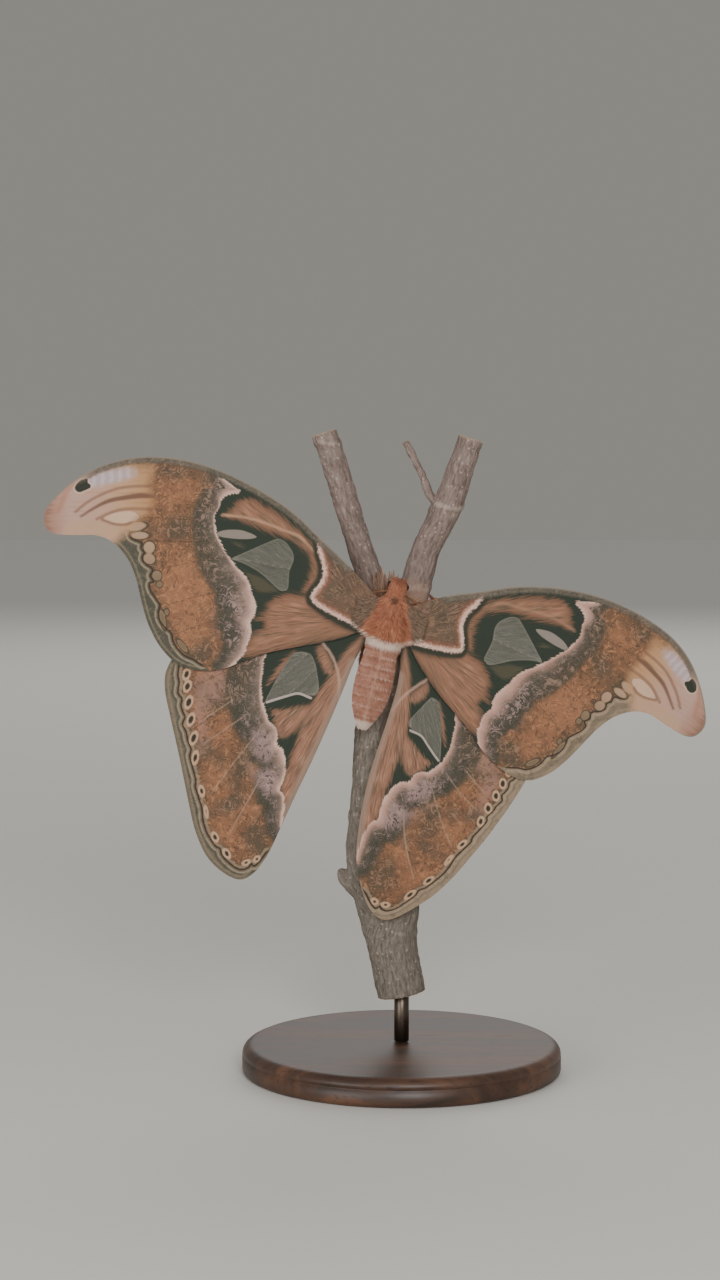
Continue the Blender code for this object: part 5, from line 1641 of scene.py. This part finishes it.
def tube_rings(path, half_widths, half_depths, sides):
    """Rings square to a path that never runs straight at the viewer."""
    ahead = unit(np.gradient(path, axis=0))
    front = np.array([(0.0, -1.0, 0.0)]) - ahead * (ahead @ (0.0, -1.0, 0.0))[:, None]
    front = unit(front)
    beside = np.cross(ahead, front)
    turn = np.linspace(0, math.tau, sides, endpoint=False)
    wide = beside[:, None] * (half_widths[:, None] * np.cos(turn))[..., None]
    deep = front[:, None] * (half_depths[:, None] * np.sin(turn))[..., None]
    return path[:, None] + wide + deep


def ring_faces(rings, sides, first=0):
    """Faces of a closed skin over rings that turn to the left as seen from their start."""
    faces = [tuple(range(first, first + sides))[::-1]]
    for low in range(first, first + sides * (rings - 1), sides):
        for k in range(sides):
            j = (k + 1) % sides
            faces.append((low + k, low + j, low + sides + j, low + sides + k))
    last = first + sides * (rings - 1)
    faces.append(tuple(range(last, last + sides)))
    return faces


def joined_tubes(tubes, sides):
    """One set of points and faces for several rows of rings."""
    points, faces, first = [], [], 0
    for rings in tubes:
        points.append(rings.reshape(-1, 3))
        faces += ring_faces(len(rings), sides, first)
        first += len(rings) * sides
    return np.vstack(points), faces


# %% One fused and grained mesh of wood
def settled_mesh(helper):
    """The mesh that a helper's modifier makes, with the helper itself taken away."""
    mesh = bpy.data.meshes.new_from_object(helper.evaluated_get(bpy.context.evaluated_depsgraph_get()))
    bpy.data.objects.remove(helper)
    return mesh


def voxel_skin(name, points, faces, grain):
    """The joined tubes as one even skin of small squares, in millimetres."""
    mesh = bpy.data.meshes.new(name)
    mesh.from_pydata((points * MM).tolist(), [], faces)
    helper = placed(name, mesh)
    change = helper.modifiers.new("Fuse", "REMESH")
    change.mode = "VOXEL"
    change.voxel_size = grain * MM
    fused = settled_mesh(helper)
    found, normals = np.zeros((2, len(fused.vertices) * 3), np.float32)
    fused.vertices.foreach_get("co", found)
    fused.vertex_normals.foreach_get("vector", normals)
    skin_faces = [tuple(polygon.vertices) for polygon in fused.polygons]
    bpy.data.meshes.remove(fused)
    return found.reshape(-1, 3).astype(float) / MM, normals.reshape(-1, 3).astype(float), skin_faces


def measure_limbs(points):
    """For each point: how far along its nearest limb it is, how far round it, and which limb."""
    found = np.zeros((len(points), 3))
    nearest = np.full(len(points), 1e9)
    for index, line in enumerate(LIMB_LINES):
        path, wide, _ = limb_path(line)
        ahead = unit(np.gradient(path, axis=0))
        run = np.concatenate([[0.0], np.cumsum(np.linalg.norm(np.diff(path, axis=0), axis=1))])
        for low in range(0, len(points), 4000):
            chunk = points[low : low + 4000]
            apart = np.linalg.norm(chunk[:, None] - path[None], axis=2) / wide[None]
            best = apart.argmin(axis=1)
            least_apart = apart[np.arange(len(chunk)), best]
            closer = least_apart < nearest[low : low + 4000]
            offset = chunk - path[best]
            beyond = (offset * ahead[best]).sum(1)
            turn = np.arctan2(-offset[:, 1], offset[:, 0])
            rows = np.column_stack([run[best] + beyond, turn * wide[best], np.full(len(chunk), index)])
            found[low : low + 4000][closer] = rows[closer]
            nearest[low : low + 4000] = np.minimum(nearest[low : low + 4000], least_apart)
    return found.T


def rough(points, size, seed):
    """Soft random values of about -1 to 1 at points, in blots of this size."""
    return np.array([noise.noise(Vector(p)) for p in points / size + seed])


def bark_relief(points, along, around, limb):
    """How far the bark stands out: lumps, long fissures, fine scurf and rings at old leaf scars."""
    unrolled = np.column_stack([around / 1.1, along / 7.0, limb * 9.0])
    fissures = np.abs(rough(unrolled, 1.0, 3.0))
    fine = rough(np.column_stack([around / 0.5, along / 2.2, limb * 9.0]), 1.0, 8.0)
    relief = 0.28 * rough(points, 7.0, 1.0) + 0.22 * rough(points, 2.6, 5.0)
    relief += 0.16 - 0.45 * np.clip(0.22 - fissures, 0, 1) / 0.22 * 0.5 + 0.1 * fine
    for ring_limb, up, height in BARK_RINGS:
        place = points[:, 2] - THORAX_HEIGHT - up + 0.9 * np.sin(around * 0.35)
        relief += np.where(limb == ring_limb, height * np.exp(-((place / RING_WIDTH) ** 2)), 0)
    return relief, fissures


def add_perch(finish):
    tubes = [tube_rings(*limb_path(line), LIMB_SIDES) for line in LIMB_LINES]
    points, faces = joined_tubes(tubes, LIMB_SIDES)
    points, normals, faces = voxel_skin("perch_shape", points, faces, BARK_GRAIN)
    along, around, limb = measure_limbs(points)
    relief, fissures = bark_relief(points, along, around, limb)
    ends = [limb_path(line)[0][-1] for line in LIMB_LINES[:4]]
    headings = [unit(np.diff(limb_path(line)[0][-2:], axis=0))[0] for line in LIMB_LINES[:4]]
    cut = np.zeros(len(points))
    radius = np.zeros(len(points))
    for end, heading in zip(ends, headings):
        beyond = (points - end) @ heading
        apart = np.linalg.norm(points - end, axis=1)
        flat = (beyond > -0.45) & (apart < 11.5) & (normals @ heading > 0.5)
        cut[flat] = 1.0
        radius[flat] = apart[flat]
    relief = relief * (1 - cut)
    chart = points[:, (0, 2)] - (THORAX_ACROSS, THORAX_HEIGHT)
    heel = measure_ovals(chart, BARK_HEEL) + 9.0 * np.clip(normals[:, 1] + 0.6, 0, 1)
    points = points + normals * np.clip(relief, -0.55, 0.7)[:, None]
    marks = {
        "along": along, "around": around, "fissure": fissures, "relief": relief, "cut": cut,
        "radius": radius, "height": points[:, 2] - THORAX_HEIGHT, "heel": heel,
    }
    hides = ["perch_stem", "perch_branch_left", "perch_branch_right"]
    add_piece("perch_bark", points, faces, finish, hides, marks)


# %% The bark's finish
def finish_bark():
    material, brush, shader = new_finish("pale_bark", Roughness=0.88, Specular_IOR_Level=0.3)
    keys = ("along", "around", "fissure", "relief", "cut", "radius", "height", "heel")
    along, around, fissure, relief, cut, radius, height, heel = (brush.mark(key) for key in keys)
    unrolled = brush.joined(around, brush.times(along, 0.22), brush.times(height, 0.02))
    grain = brush.noise(unrolled, 1 / 1.3, 5.0)
    fine = brush.noise(unrolled, 1 / 4.5, 3.0)
    mottle = brush.noise(brush.place(), 0.006, 4.0)
    pale = brush.ramp(
        brush.plus(brush.times(grain, 0.6), brush.times(fine, 0.25), brush.times(mottle, 0.2)),
        ((0.3, 86, 74, 67), (0.44, 116, 100, 92), (0.6, 140, 123, 114), (0.78, 170, 151, 141)),
    )
    grey = brush.ramp(
        brush.plus(brush.times(grain, 0.6), brush.times(fine, 0.4)),
        ((0.3, 72, 67, 58), (0.52, 116, 109, 98), (0.8, 156, 146, 132)),
    )
    low = brush.rise(brush.plus(height, brush.times(brush.shift(mottle, 1.0), 24.0)), 4.0, -30.0)
    spots = brush.add("ShaderNodeTexVoronoi", {"Vector": brush.place(), "Scale": 420.0}).outputs["Distance"]
    rings = brush.math("FRACT", brush.plus(brush.times(radius, 1.25), brush.shift(mottle, 0.3)))
    wood = brush.ramp(rings, ((0.0, 176, 146, 108), (0.7, 206, 178, 138), (1.0, 160, 128, 92)))
    wood = brush.over(brush.rise(radius, 0.9, 0.5), (120, 90, 62), wood)
    tint = brush.layers(
        pale,
        (grey, low, 0.8),
        ((76, 64, 56), brush.rise(fissure, 0.12, 0.02), 0.4),
        ((190, 172, 160), brush.rise(relief, 0.3, 0.7), 0.4),
        ((200, 184, 174), brush.rise(spots, 0.22, 0.1), 0.4),
        ((190, 158, 138), brush.rise(brush.plus(heel, brush.shift(mottle, 3.0)), 3.0, -2.5), 0.65),
        (wood, cut),
    )
    normal = brush.bump(brush.plus(grain, brush.times(fine, 0.6)), 0.6, 0.4)
    brush.dress(shader, Base_Color=tint, Normal=normal)
    return material


add_perch(finish_bark())

# %% [markdown]
# ## Perch: torn bark in the fork
#
# Where the two branches part, a strip of bark has torn and stands up as a fan of flat fibres. Each is
# a thin tapering blade, and a loop sets them side by side with small random changes.

# %% The torn bark
SPLINTER_COUNT = 13
SPLINTER_FOOT = (-3.6, 8.4, -9.9)
SPLINTER_REACH = (-0.8, 8.8, 0.6)
SPLINTER_SPREAD = (6.0, 3.0)
SPLINTER_WIDTHS = (0.75, 0.75, 0.64, 0.45, 0.1)
SPLINTER_DEPTHS = (0.4, 0.3, 0.22, 0.16, 0.06)
SPLINTER_SIDES = 8
SPLINTER_STEPS = 9


def add_torn_bark():
    draw = np.random.default_rng(4)
    tubes = []
    for i in range(SPLINTER_COUNT):
        share = i / (SPLINTER_COUNT - 1)
        across, up, rise = SPLINTER_FOOT
        foot = np.array((across + SPLINTER_SPREAD[0] * share, up + draw.uniform(-0.6, 0.6), rise))
        reach = np.array(SPLINTER_REACH) + (SPLINTER_SPREAD[1] * share, draw.uniform(-2.6, 2.2), 0)
        steps = np.linspace(0, 1, SPLINTER_STEPS)[:, None]
        bend = draw.uniform(0.1, 1.0) * steps[:, 0] ** 2
        curl = np.column_stack([0.5 * np.sin(3 * steps[:, 0]), np.zeros(len(steps)), bend])
        path = foot + reach * steps + curl
        keys = np.linspace(0, 1, len(SPLINTER_WIDTHS))
        size = draw.uniform(0.75, 1.2)
        wide = np.interp(steps[:, 0], keys, SPLINTER_WIDTHS) * size
        deep = np.interp(steps[:, 0], keys, SPLINTER_DEPTHS)
        tubes.append(tube_rings(in_world(path[:, :2], path[:, 2]), wide, deep, SPLINTER_SIDES))
    points, faces = joined_tubes(tubes, SPLINTER_SIDES)
    strands = ((0.3, 96, 74, 60), (0.52, 140, 112, 94), (0.75, 178, 148, 130))
    fibres = finish_grain("torn_bark", (1.0, 1.0, 0.12), 0.0007, strands, 0.5, 0.2, 0.9)
    add_piece("torn_bark", points, faces, fibres)


add_torn_bark()

# %% [markdown]
# ## Feelers
#
# The feelers of an atlas moth are feathers: a thin rod with a row of side branches on either hand.
# Here they are folded back under the forewings. Geometry Nodes suit them well, because one small
# branch repeats along a curve: it is set on points of the rod, turned along it, scaled and realized.

# %% The tree that makes a feeler
ANTENNA_PATH = (
    (-1.9, 12.2, -3.4), (-3.6, 10.8, -4.2), (-7.6, 9.4, -3.6), (-12.0, 6.4, -2.6), (-16.0, 2.0, -2.2),
    (-19.0, -3.6, -2.4), (-20.6, -9.6, -3.0),
)
BRANCH_PAIRS = 34
BRANCH_LENGTH = 4.1
BRANCH_RADIUS = 0.11
BRANCH_SLANT = 0.55
ROD_SIZES = (0.42, 0.16)


def build_feeler_tree(material):
    """Curve in, feathered feeler out."""
    tree = bpy.data.node_groups.new("feeler", "GeometryNodeTree")
    tree.interface.new_socket("Geometry", in_out="INPUT", socket_type="NodeSocketGeometry")
    sizes = {
        "Pairs": ("NodeSocketInt", BRANCH_PAIRS),
        "Branch length": ("NodeSocketFloat", BRANCH_LENGTH * MM),
        "Branch radius": ("NodeSocketFloat", BRANCH_RADIUS * MM),
        "Slant": ("NodeSocketFloat", BRANCH_SLANT),
    }
    sockets = {}
    for key, (kind, value) in sizes.items():
        sockets[key] = tree.interface.new_socket(key, in_out="INPUT", socket_type=kind)
        sockets[key].default_value = value
    tree.interface.new_socket("Geometry", in_out="OUTPUT", socket_type="NodeSocketGeometry")
    brush = Paintbox(tree)
    given = brush.add("NodeGroupInput").outputs
    curve = given["Geometry"]

    def tube(line, sides, radius):
        circle = {"Resolution": sides, "Radius": 1.0}
        ring = brush.add("GeometryNodeCurvePrimitiveCircle", circle).outputs[0]
        inputs = {"Curve": line, "Profile Curve": ring, "Scale": radius, "Fill Caps": True}
        return brush.add("GeometryNodeCurveToMesh", inputs).outputs[0]

    rod = tube(curve, 8, brush.add("GeometryNodeInputRadius").outputs[0])

    reach = brush.joined(given["Slant"], 0.0, 1.0)
    bow = brush.vector("SCALE", {0: reach, 3: given["Branch length"]})
    middle = brush.vector("MULTIPLY", {0: bow, 1: (0.36, 0.5, 0.55)})
    inputs = {"Resolution": 5, "Start": (0.0, 0.0, 0.0), "End": bow}
    line = brush.add("GeometryNodeCurvePrimitiveBezierSegment", inputs)
    brush.dress(line, Start_Handle=middle, End_Handle=middle)
    share = brush.add("GeometryNodeSplineParameter").outputs["Factor"]
    taper = brush.add("ShaderNodeMapRange", {"Value": share, "To Min": 1.0, "To Max": 0.3}).outputs[0]
    branch = tube(line.outputs[0], 5, brush.times(taper, given["Branch radius"]))

    points = brush.add("GeometryNodeCurveToPoints", {"Curve": curve, "Count": given["Pairs"]}, mode="COUNT")
    index = brush.add("GeometryNodeInputIndex").outputs[0]
    part = brush.math("DIVIDE", brush.math("ADD", index, 1.5), brush.math("ADD", given["Pairs"], 1.5))
    arc = brush.times(brush.math("MULTIPLY_ADD", part, 0.88, 0.12), math.pi)
    swell = brush.math("POWER", brush.math("SINE", arc), 0.7)
    tangent = points.outputs["Tangent"]
    beside = brush.vector("CROSS_PRODUCT", {0: tangent, 1: (0.0, -1.0, 0.0)})
    pieces = [rod]
    for row in (1.0, -1.0):
        axes = {0: brush.vector("SCALE", {0: beside, 3: row}), 1: tangent}
        aim = brush.add("FunctionNodeAxesToRotation", axes, primary_axis="Z", secondary_axis="X").outputs[0]
        inputs = {"Points": points.outputs["Points"], "Instance": branch, "Rotation": aim, "Scale": swell}
        pieces.append(brush.add("GeometryNodeInstanceOnPoints", inputs).outputs[0])
    join = brush.add("GeometryNodeJoinGeometry")
    for piece in pieces:
        tree.links.new(piece, join.inputs[0])
    real = brush.add("GeometryNodeRealizeInstances", {"Geometry": join.outputs[0]})
    smooth = brush.add("GeometryNodeSetShadeSmooth", {"Geometry": real.outputs[0]})
    dressed = brush.add("GeometryNodeSetMaterial", {"Geometry": smooth.outputs[0], "Material": material})
    brush.feed(brush.add("NodeGroupOutput").inputs[0], dressed.outputs[0])
    return tree, {key: socket.identifier for key, socket in sockets.items()}


# %% The feelers
feeler_tones = ((0.3, 104, 68, 46), (0.7, 168, 118, 82))
feeler_finish = finish_grain("feeler_brown", (1.0, 1.0, 1.0), 0.0006, feeler_tones, 0.3, 0.1, 0.75)
feeler_tree, feeler_sockets = build_feeler_tree(feeler_finish)


def add_feeler(name, side):
    """A feeler from its path, as a plain mesh."""
    places = smooth_line([(side * -a, b, c) for a, b, c in ANTENNA_PATH], 1.2)
    path = body_to_world(places) * MM
    curve = bpy.data.curves.new(name + "_path", "CURVE")
    curve.dimensions = "3D"
    curve.twist_mode = "Z_UP"
    spline = curve.splines.new("POLY")
    spline.points.add(len(path) - 1)
    radii = np.interp(np.linspace(0, 1, len(path)), (0, 1), ROD_SIZES) * MM
    for point, place, radius in zip(spline.points, path, radii):
        point.co = (*place, 1.0)
        point.radius = radius
    helper = placed(name + "_path", curve)
    change = helper.modifiers.new("Feather", "NODES")
    change.node_group = feeler_tree
    change[feeler_sockets["Pairs"]] = BRANCH_PAIRS
    change[feeler_sockets["Branch length"]] = BRANCH_LENGTH * MM
    mesh = settled_mesh(helper)
    piece = placed(name + "_feather", mesh)
    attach(piece, "root")
    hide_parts(name)
    low, high = np.array(piece.bound_box).min(0) / MM, np.array(piece.bound_box).max(0) / MM
    print(piece.name, len(mesh.polygons), "faces,", low.round(1), high.round(1))


add_feeler("antenna_left", -1)
add_feeler("antenna_right", 1)

# %% [markdown]
# ## Shoulders
#
# The thorax fur does not stop at the wings: it fans out over their roots as a rust-coloured triangle on
# either side, and hides where they join the body.

# %% The shoulder fur
SHOULDER_COUNT = 9000
SHOULDER_REACH = 11.0


def add_shoulders():
    draw = np.random.default_rng(21)
    count = SHOULDER_COUNT
    share = draw.uniform(0, 1, count) ** 0.8
    hand = np.where(draw.uniform(0, 1, count) < 0.5, -1.0, 1.0)
    front = 9.6 - 3.2 * share
    back = -5.2 + 3.6 * share
    along = back + (front - back) * draw.uniform(0, 1, count)
    wide = graded(THORAX_WIDTHS, along) - 0.9
    beside = wide * 0.45 + (SHOULDER_REACH - wide * 0.45) * share
    dome = wide * np.sqrt(np.clip(1 - (beside / wide) ** 2, 0, 1))
    out = np.maximum(dome, FOREWING_RISE + 0.3)
    roots = np.column_stack([hand * beside, along, out])
    normals = unit(np.column_stack([0.2 * hand, np.zeros(count), np.ones(count)]))
    backwards = -0.75 + draw.normal(0, 0.25, count)
    lies = np.column_stack([hand * (0.9 + 0.9 * share), backwards, np.zeros(count)])
    lengths = (3.4 - 1.2 * share) * draw.uniform(0.6, 1.25, count)
    first = np.radians(18 * draw.uniform(0.4, 1.5, count))
    last = np.radians(12 * draw.uniform(-0.8, 0.8, count))
    widths = 0.24 * draw.uniform(0.7, 1.3, count)
    corners = grow_tufts(roots, normals, lies, lengths, widths, first, last)
    chart = np.column_stack([0.5 + 0.045 * roots[:, 0], (along + 8) / 20]) * (1 - PATCH_SIZE)
    add_on_body("shoulder_coat", corners, roots, chart, draw)


add_shoulders()

# %% [markdown]
# ## Legs
#
# The six legs hold the stem and its branches behind the body, mostly out of sight. Each is a jointed
# tube, a little swollen at every joint, and short hairs lie along it.

# %% The legs
LEG_ROOTS = {"front": 6.2, "middle": 1.6, "hind": -3.2}
LEG_GRIPS = {"front": 8.0, "middle": -8.5, "hind": -19.0}
LEG_CLEARANCE = {"front": 0.75, "middle": 0.2, "hind": 0.05}
LEG_RADII = (0.72, 0.86, 0.55, 0.74, 0.46, 0.6, 0.4, 0.48, 0.3, 0.42, 0.16)
LEG_SIDES = 20
HIP_SIDE = 2.8
HIP_DROP = 0.65
TOE_LENGTH = 1.6
LEG_HAIRS = 700
LEG_HAIR_WIDTH = 0.1
LEG_HAIR_RAISES = (0.45, 0.1)
LEG_SKIN_LOT = 0.3


def limb_at(line, up):
    """Middle (across, rise), half width and half depth of an upright limb at a height."""
    rows = np.array(sorted((place[1], place[0], place[2], wide, deep) for place, wide, deep in line))
    return [float(np.interp(up, rows[:, 0], rows[:, i])) for i in (1, 2, 3, 4)]


def leg_path(side, pair):
    """World places along a leg, from the hip to the toe."""
    along, grip = LEG_ROOTS[pair], LEG_GRIPS[pair]
    branch = LEFT_BRANCH_LINE if side < 0 else RIGHT_BRANCH_LINE
    across, rise, wide, deep = limb_at(branch if pair == "front" else STEM_LINE, grip)
    half = float(graded(THORAX_WIDTHS, along))
    under = -THORAX_DEPTH * half / THORAX_WIDTH * math.sqrt(1 - (HIP_SIDE / half) ** 2)
    hip = from_body(side * HIP_SIDE, along, under - GAP - HIP_DROP)
    lean = 0.5 * (grip - hip[1])
    off = wide * 1.07 + GAP + LEG_CLEARANCE[pair]
    joints = [
        hip, (hip[0] + side * 0.9, hip[1] + 0.1 * lean, hip[2] - 0.7),
        (hip[0] + side * 5.0, hip[1] + 0.7 * lean, hip[2] - 1.5),
        (across + side * (off + 1.9), grip - 0.2 * lean, rise + 1.6),
        (across + side * (off + 0.75), grip, rise - 0.9),
        (across + side * (off * 0.86 + 0.3), grip + math.copysign(TOE_LENGTH, lean), rise - deep * 0.62),
    ]
    places = smooth_line(joints, 0.35)
    return in_world(places[:, :2], places[:, 2])


def finish_leg():
    material, brush, shader = new_finish("leg_brown", Roughness=0.8)
    cloud = brush.noise(brush.place(), 0.001)
    lot = brush.plus(brush.times(brush.mark("lot"), 0.6), brush.times(cloud, 0.4))
    tint = brush.ramp(lot, ((0.15, 96, 58, 42), (0.5, 150, 94, 66), (0.85, 186, 134, 102)))
    brush.feed(shader.inputs["Base Color"], tint)
    return material


leg_finish = finish_leg()
leg_draw = np.random.default_rng(31)
leg_hairs, leg_charts = [], []
for leg_index, (leg_pair, leg_side) in enumerate((p, s) for p in LEG_ROOTS for s in (-1, 1)):
    leg_line = leg_path(leg_side, leg_pair)
    leg_share = np.linspace(0, 1, len(leg_line))
    leg_radii = np.interp(leg_share, np.linspace(0, 1, len(LEG_RADII)), LEG_RADII)
    leg_rings = tube_rings(leg_line, leg_radii, leg_radii, LEG_SIDES)
    leg_node = f"leg_{leg_pair}_" + ("left" if leg_side < 0 else "right")
    leg_points, leg_faces = joined_tubes([leg_rings], LEG_SIDES)
    leg_marks = {"lot": np.full(len(leg_points), LEG_SKIN_LOT)}
    add_piece(leg_node + "_skin", leg_points, leg_faces, leg_finish, [leg_node], leg_marks)
    row = leg_draw.integers(0, len(leg_line) - 4, LEG_HAIRS)
    turn = leg_draw.integers(0, LEG_SIDES, LEG_HAIRS)
    foot = leg_rings[row, turn]
    hair_out = unit(foot - leg_line[row])
    hair_lie = unit(np.gradient(leg_line, axis=0))[row]
    hair_length = leg_draw.uniform(0.5, 1.1, LEG_HAIRS)
    even = [np.full(LEG_HAIRS, value) for value in (LEG_HAIR_WIDTH, *LEG_HAIR_RAISES)]
    leg_hairs.append(grow_tufts(foot + hair_out * 0.15, hair_out, hair_lie, hair_length, *even))
    leg_chart = np.column_stack([(leg_index + turn / LEG_SIDES * 0.9) / 6, row / len(leg_line)])
    leg_charts.append(leg_chart * 0.99)
leg_marks = {"lot": leg_draw.uniform(0, 1, 6 * LEG_HAIRS)}
add_coat("leg_coat", np.vstack(leg_hairs), np.vstack(leg_charts), leg_finish, leg_marks)

# %% [markdown]
# ## Stand
#
# The photograph shows no stand: a turned base of dark oiled wood and a short bronzed rod hold the cut
# stem upright. Both are profiles turned round the middle.

# %% The stand
BASE_PROFILE = (
    (53.4, 0.0), (54.4, 0.0), (55.3, 0.4), (55.85, 1.0), (56.0, 1.7), (56.0, 5.6), (55.6, 5.9),
    (55.6, 6.3), (55.95, 6.6), (55.8, 7.6), (55.3, 8.55), (54.4, 9.4), (53.3, 9.88), (52.4, 10.0),
    (51.4, 10.0),
)
ROD_PROFILE = ((2.2, 10.3), (2.6, 10.6), (2.6, 26.4), (2.3, 26.7))


def turned_shape(profile, sides):
    rows = np.array(profile)
    turn = np.linspace(0, math.tau, sides, endpoint=False)
    rings = np.stack([
        rows[:, :1] * np.cos(turn), rows[:, :1] * np.sin(turn), np.repeat(rows[:, 1:], sides, axis=1),
    ], axis=-1)
    return rings.reshape(-1, 3), ring_faces(len(rows), sides)


def finish_base():
    material, brush, shader = new_finish("dark_oiled_wood")
    lengthwise = brush.stretched((0.12, 1.0, 0.6))
    bands = brush.noise(lengthwise, 0.009, 4.0, 0.55, 0.4)
    pores = brush.noise(lengthwise, 0.0008, 2.0)
    tint = brush.ramp(bands, ((0.3, 44, 30, 22), (0.5, 72, 48, 34), (0.66, 98, 66, 46)))
    tint = brush.layers(tint, ((30, 20, 15), brush.rise(pores, 0.42, 0.3), 0.6))
    normal = brush.bump(pores, 0.25, 0.12)
    brush.dress(shader, Base_Color=tint, Normal=normal, Roughness=brush.scaled(bands, 0.2, 0.34))
    return material


def finish_rod():
    material, brush, shader = new_finish("bronzed_metal", Base_Color=(92, 82, 72), Metallic=1.0)
    lines = brush.noise(brush.stretched((0.3, 0.3, 1.0)), 0.0002, 2.0)
    brush.feed(shader.inputs["Roughness"], brush.scaled(lines, 0.2, 0.28))
    return material


base_points, base_faces = turned_shape(BASE_PROFILE, 144)
add_piece("turned_base", base_points, base_faces, finish_base(), ["stand_base"])
rod_points, rod_faces = turned_shape(ROD_PROFILE, 48)
add_piece("turned_rod", rod_points, rod_faces, finish_rod(), ["stand_rod"])
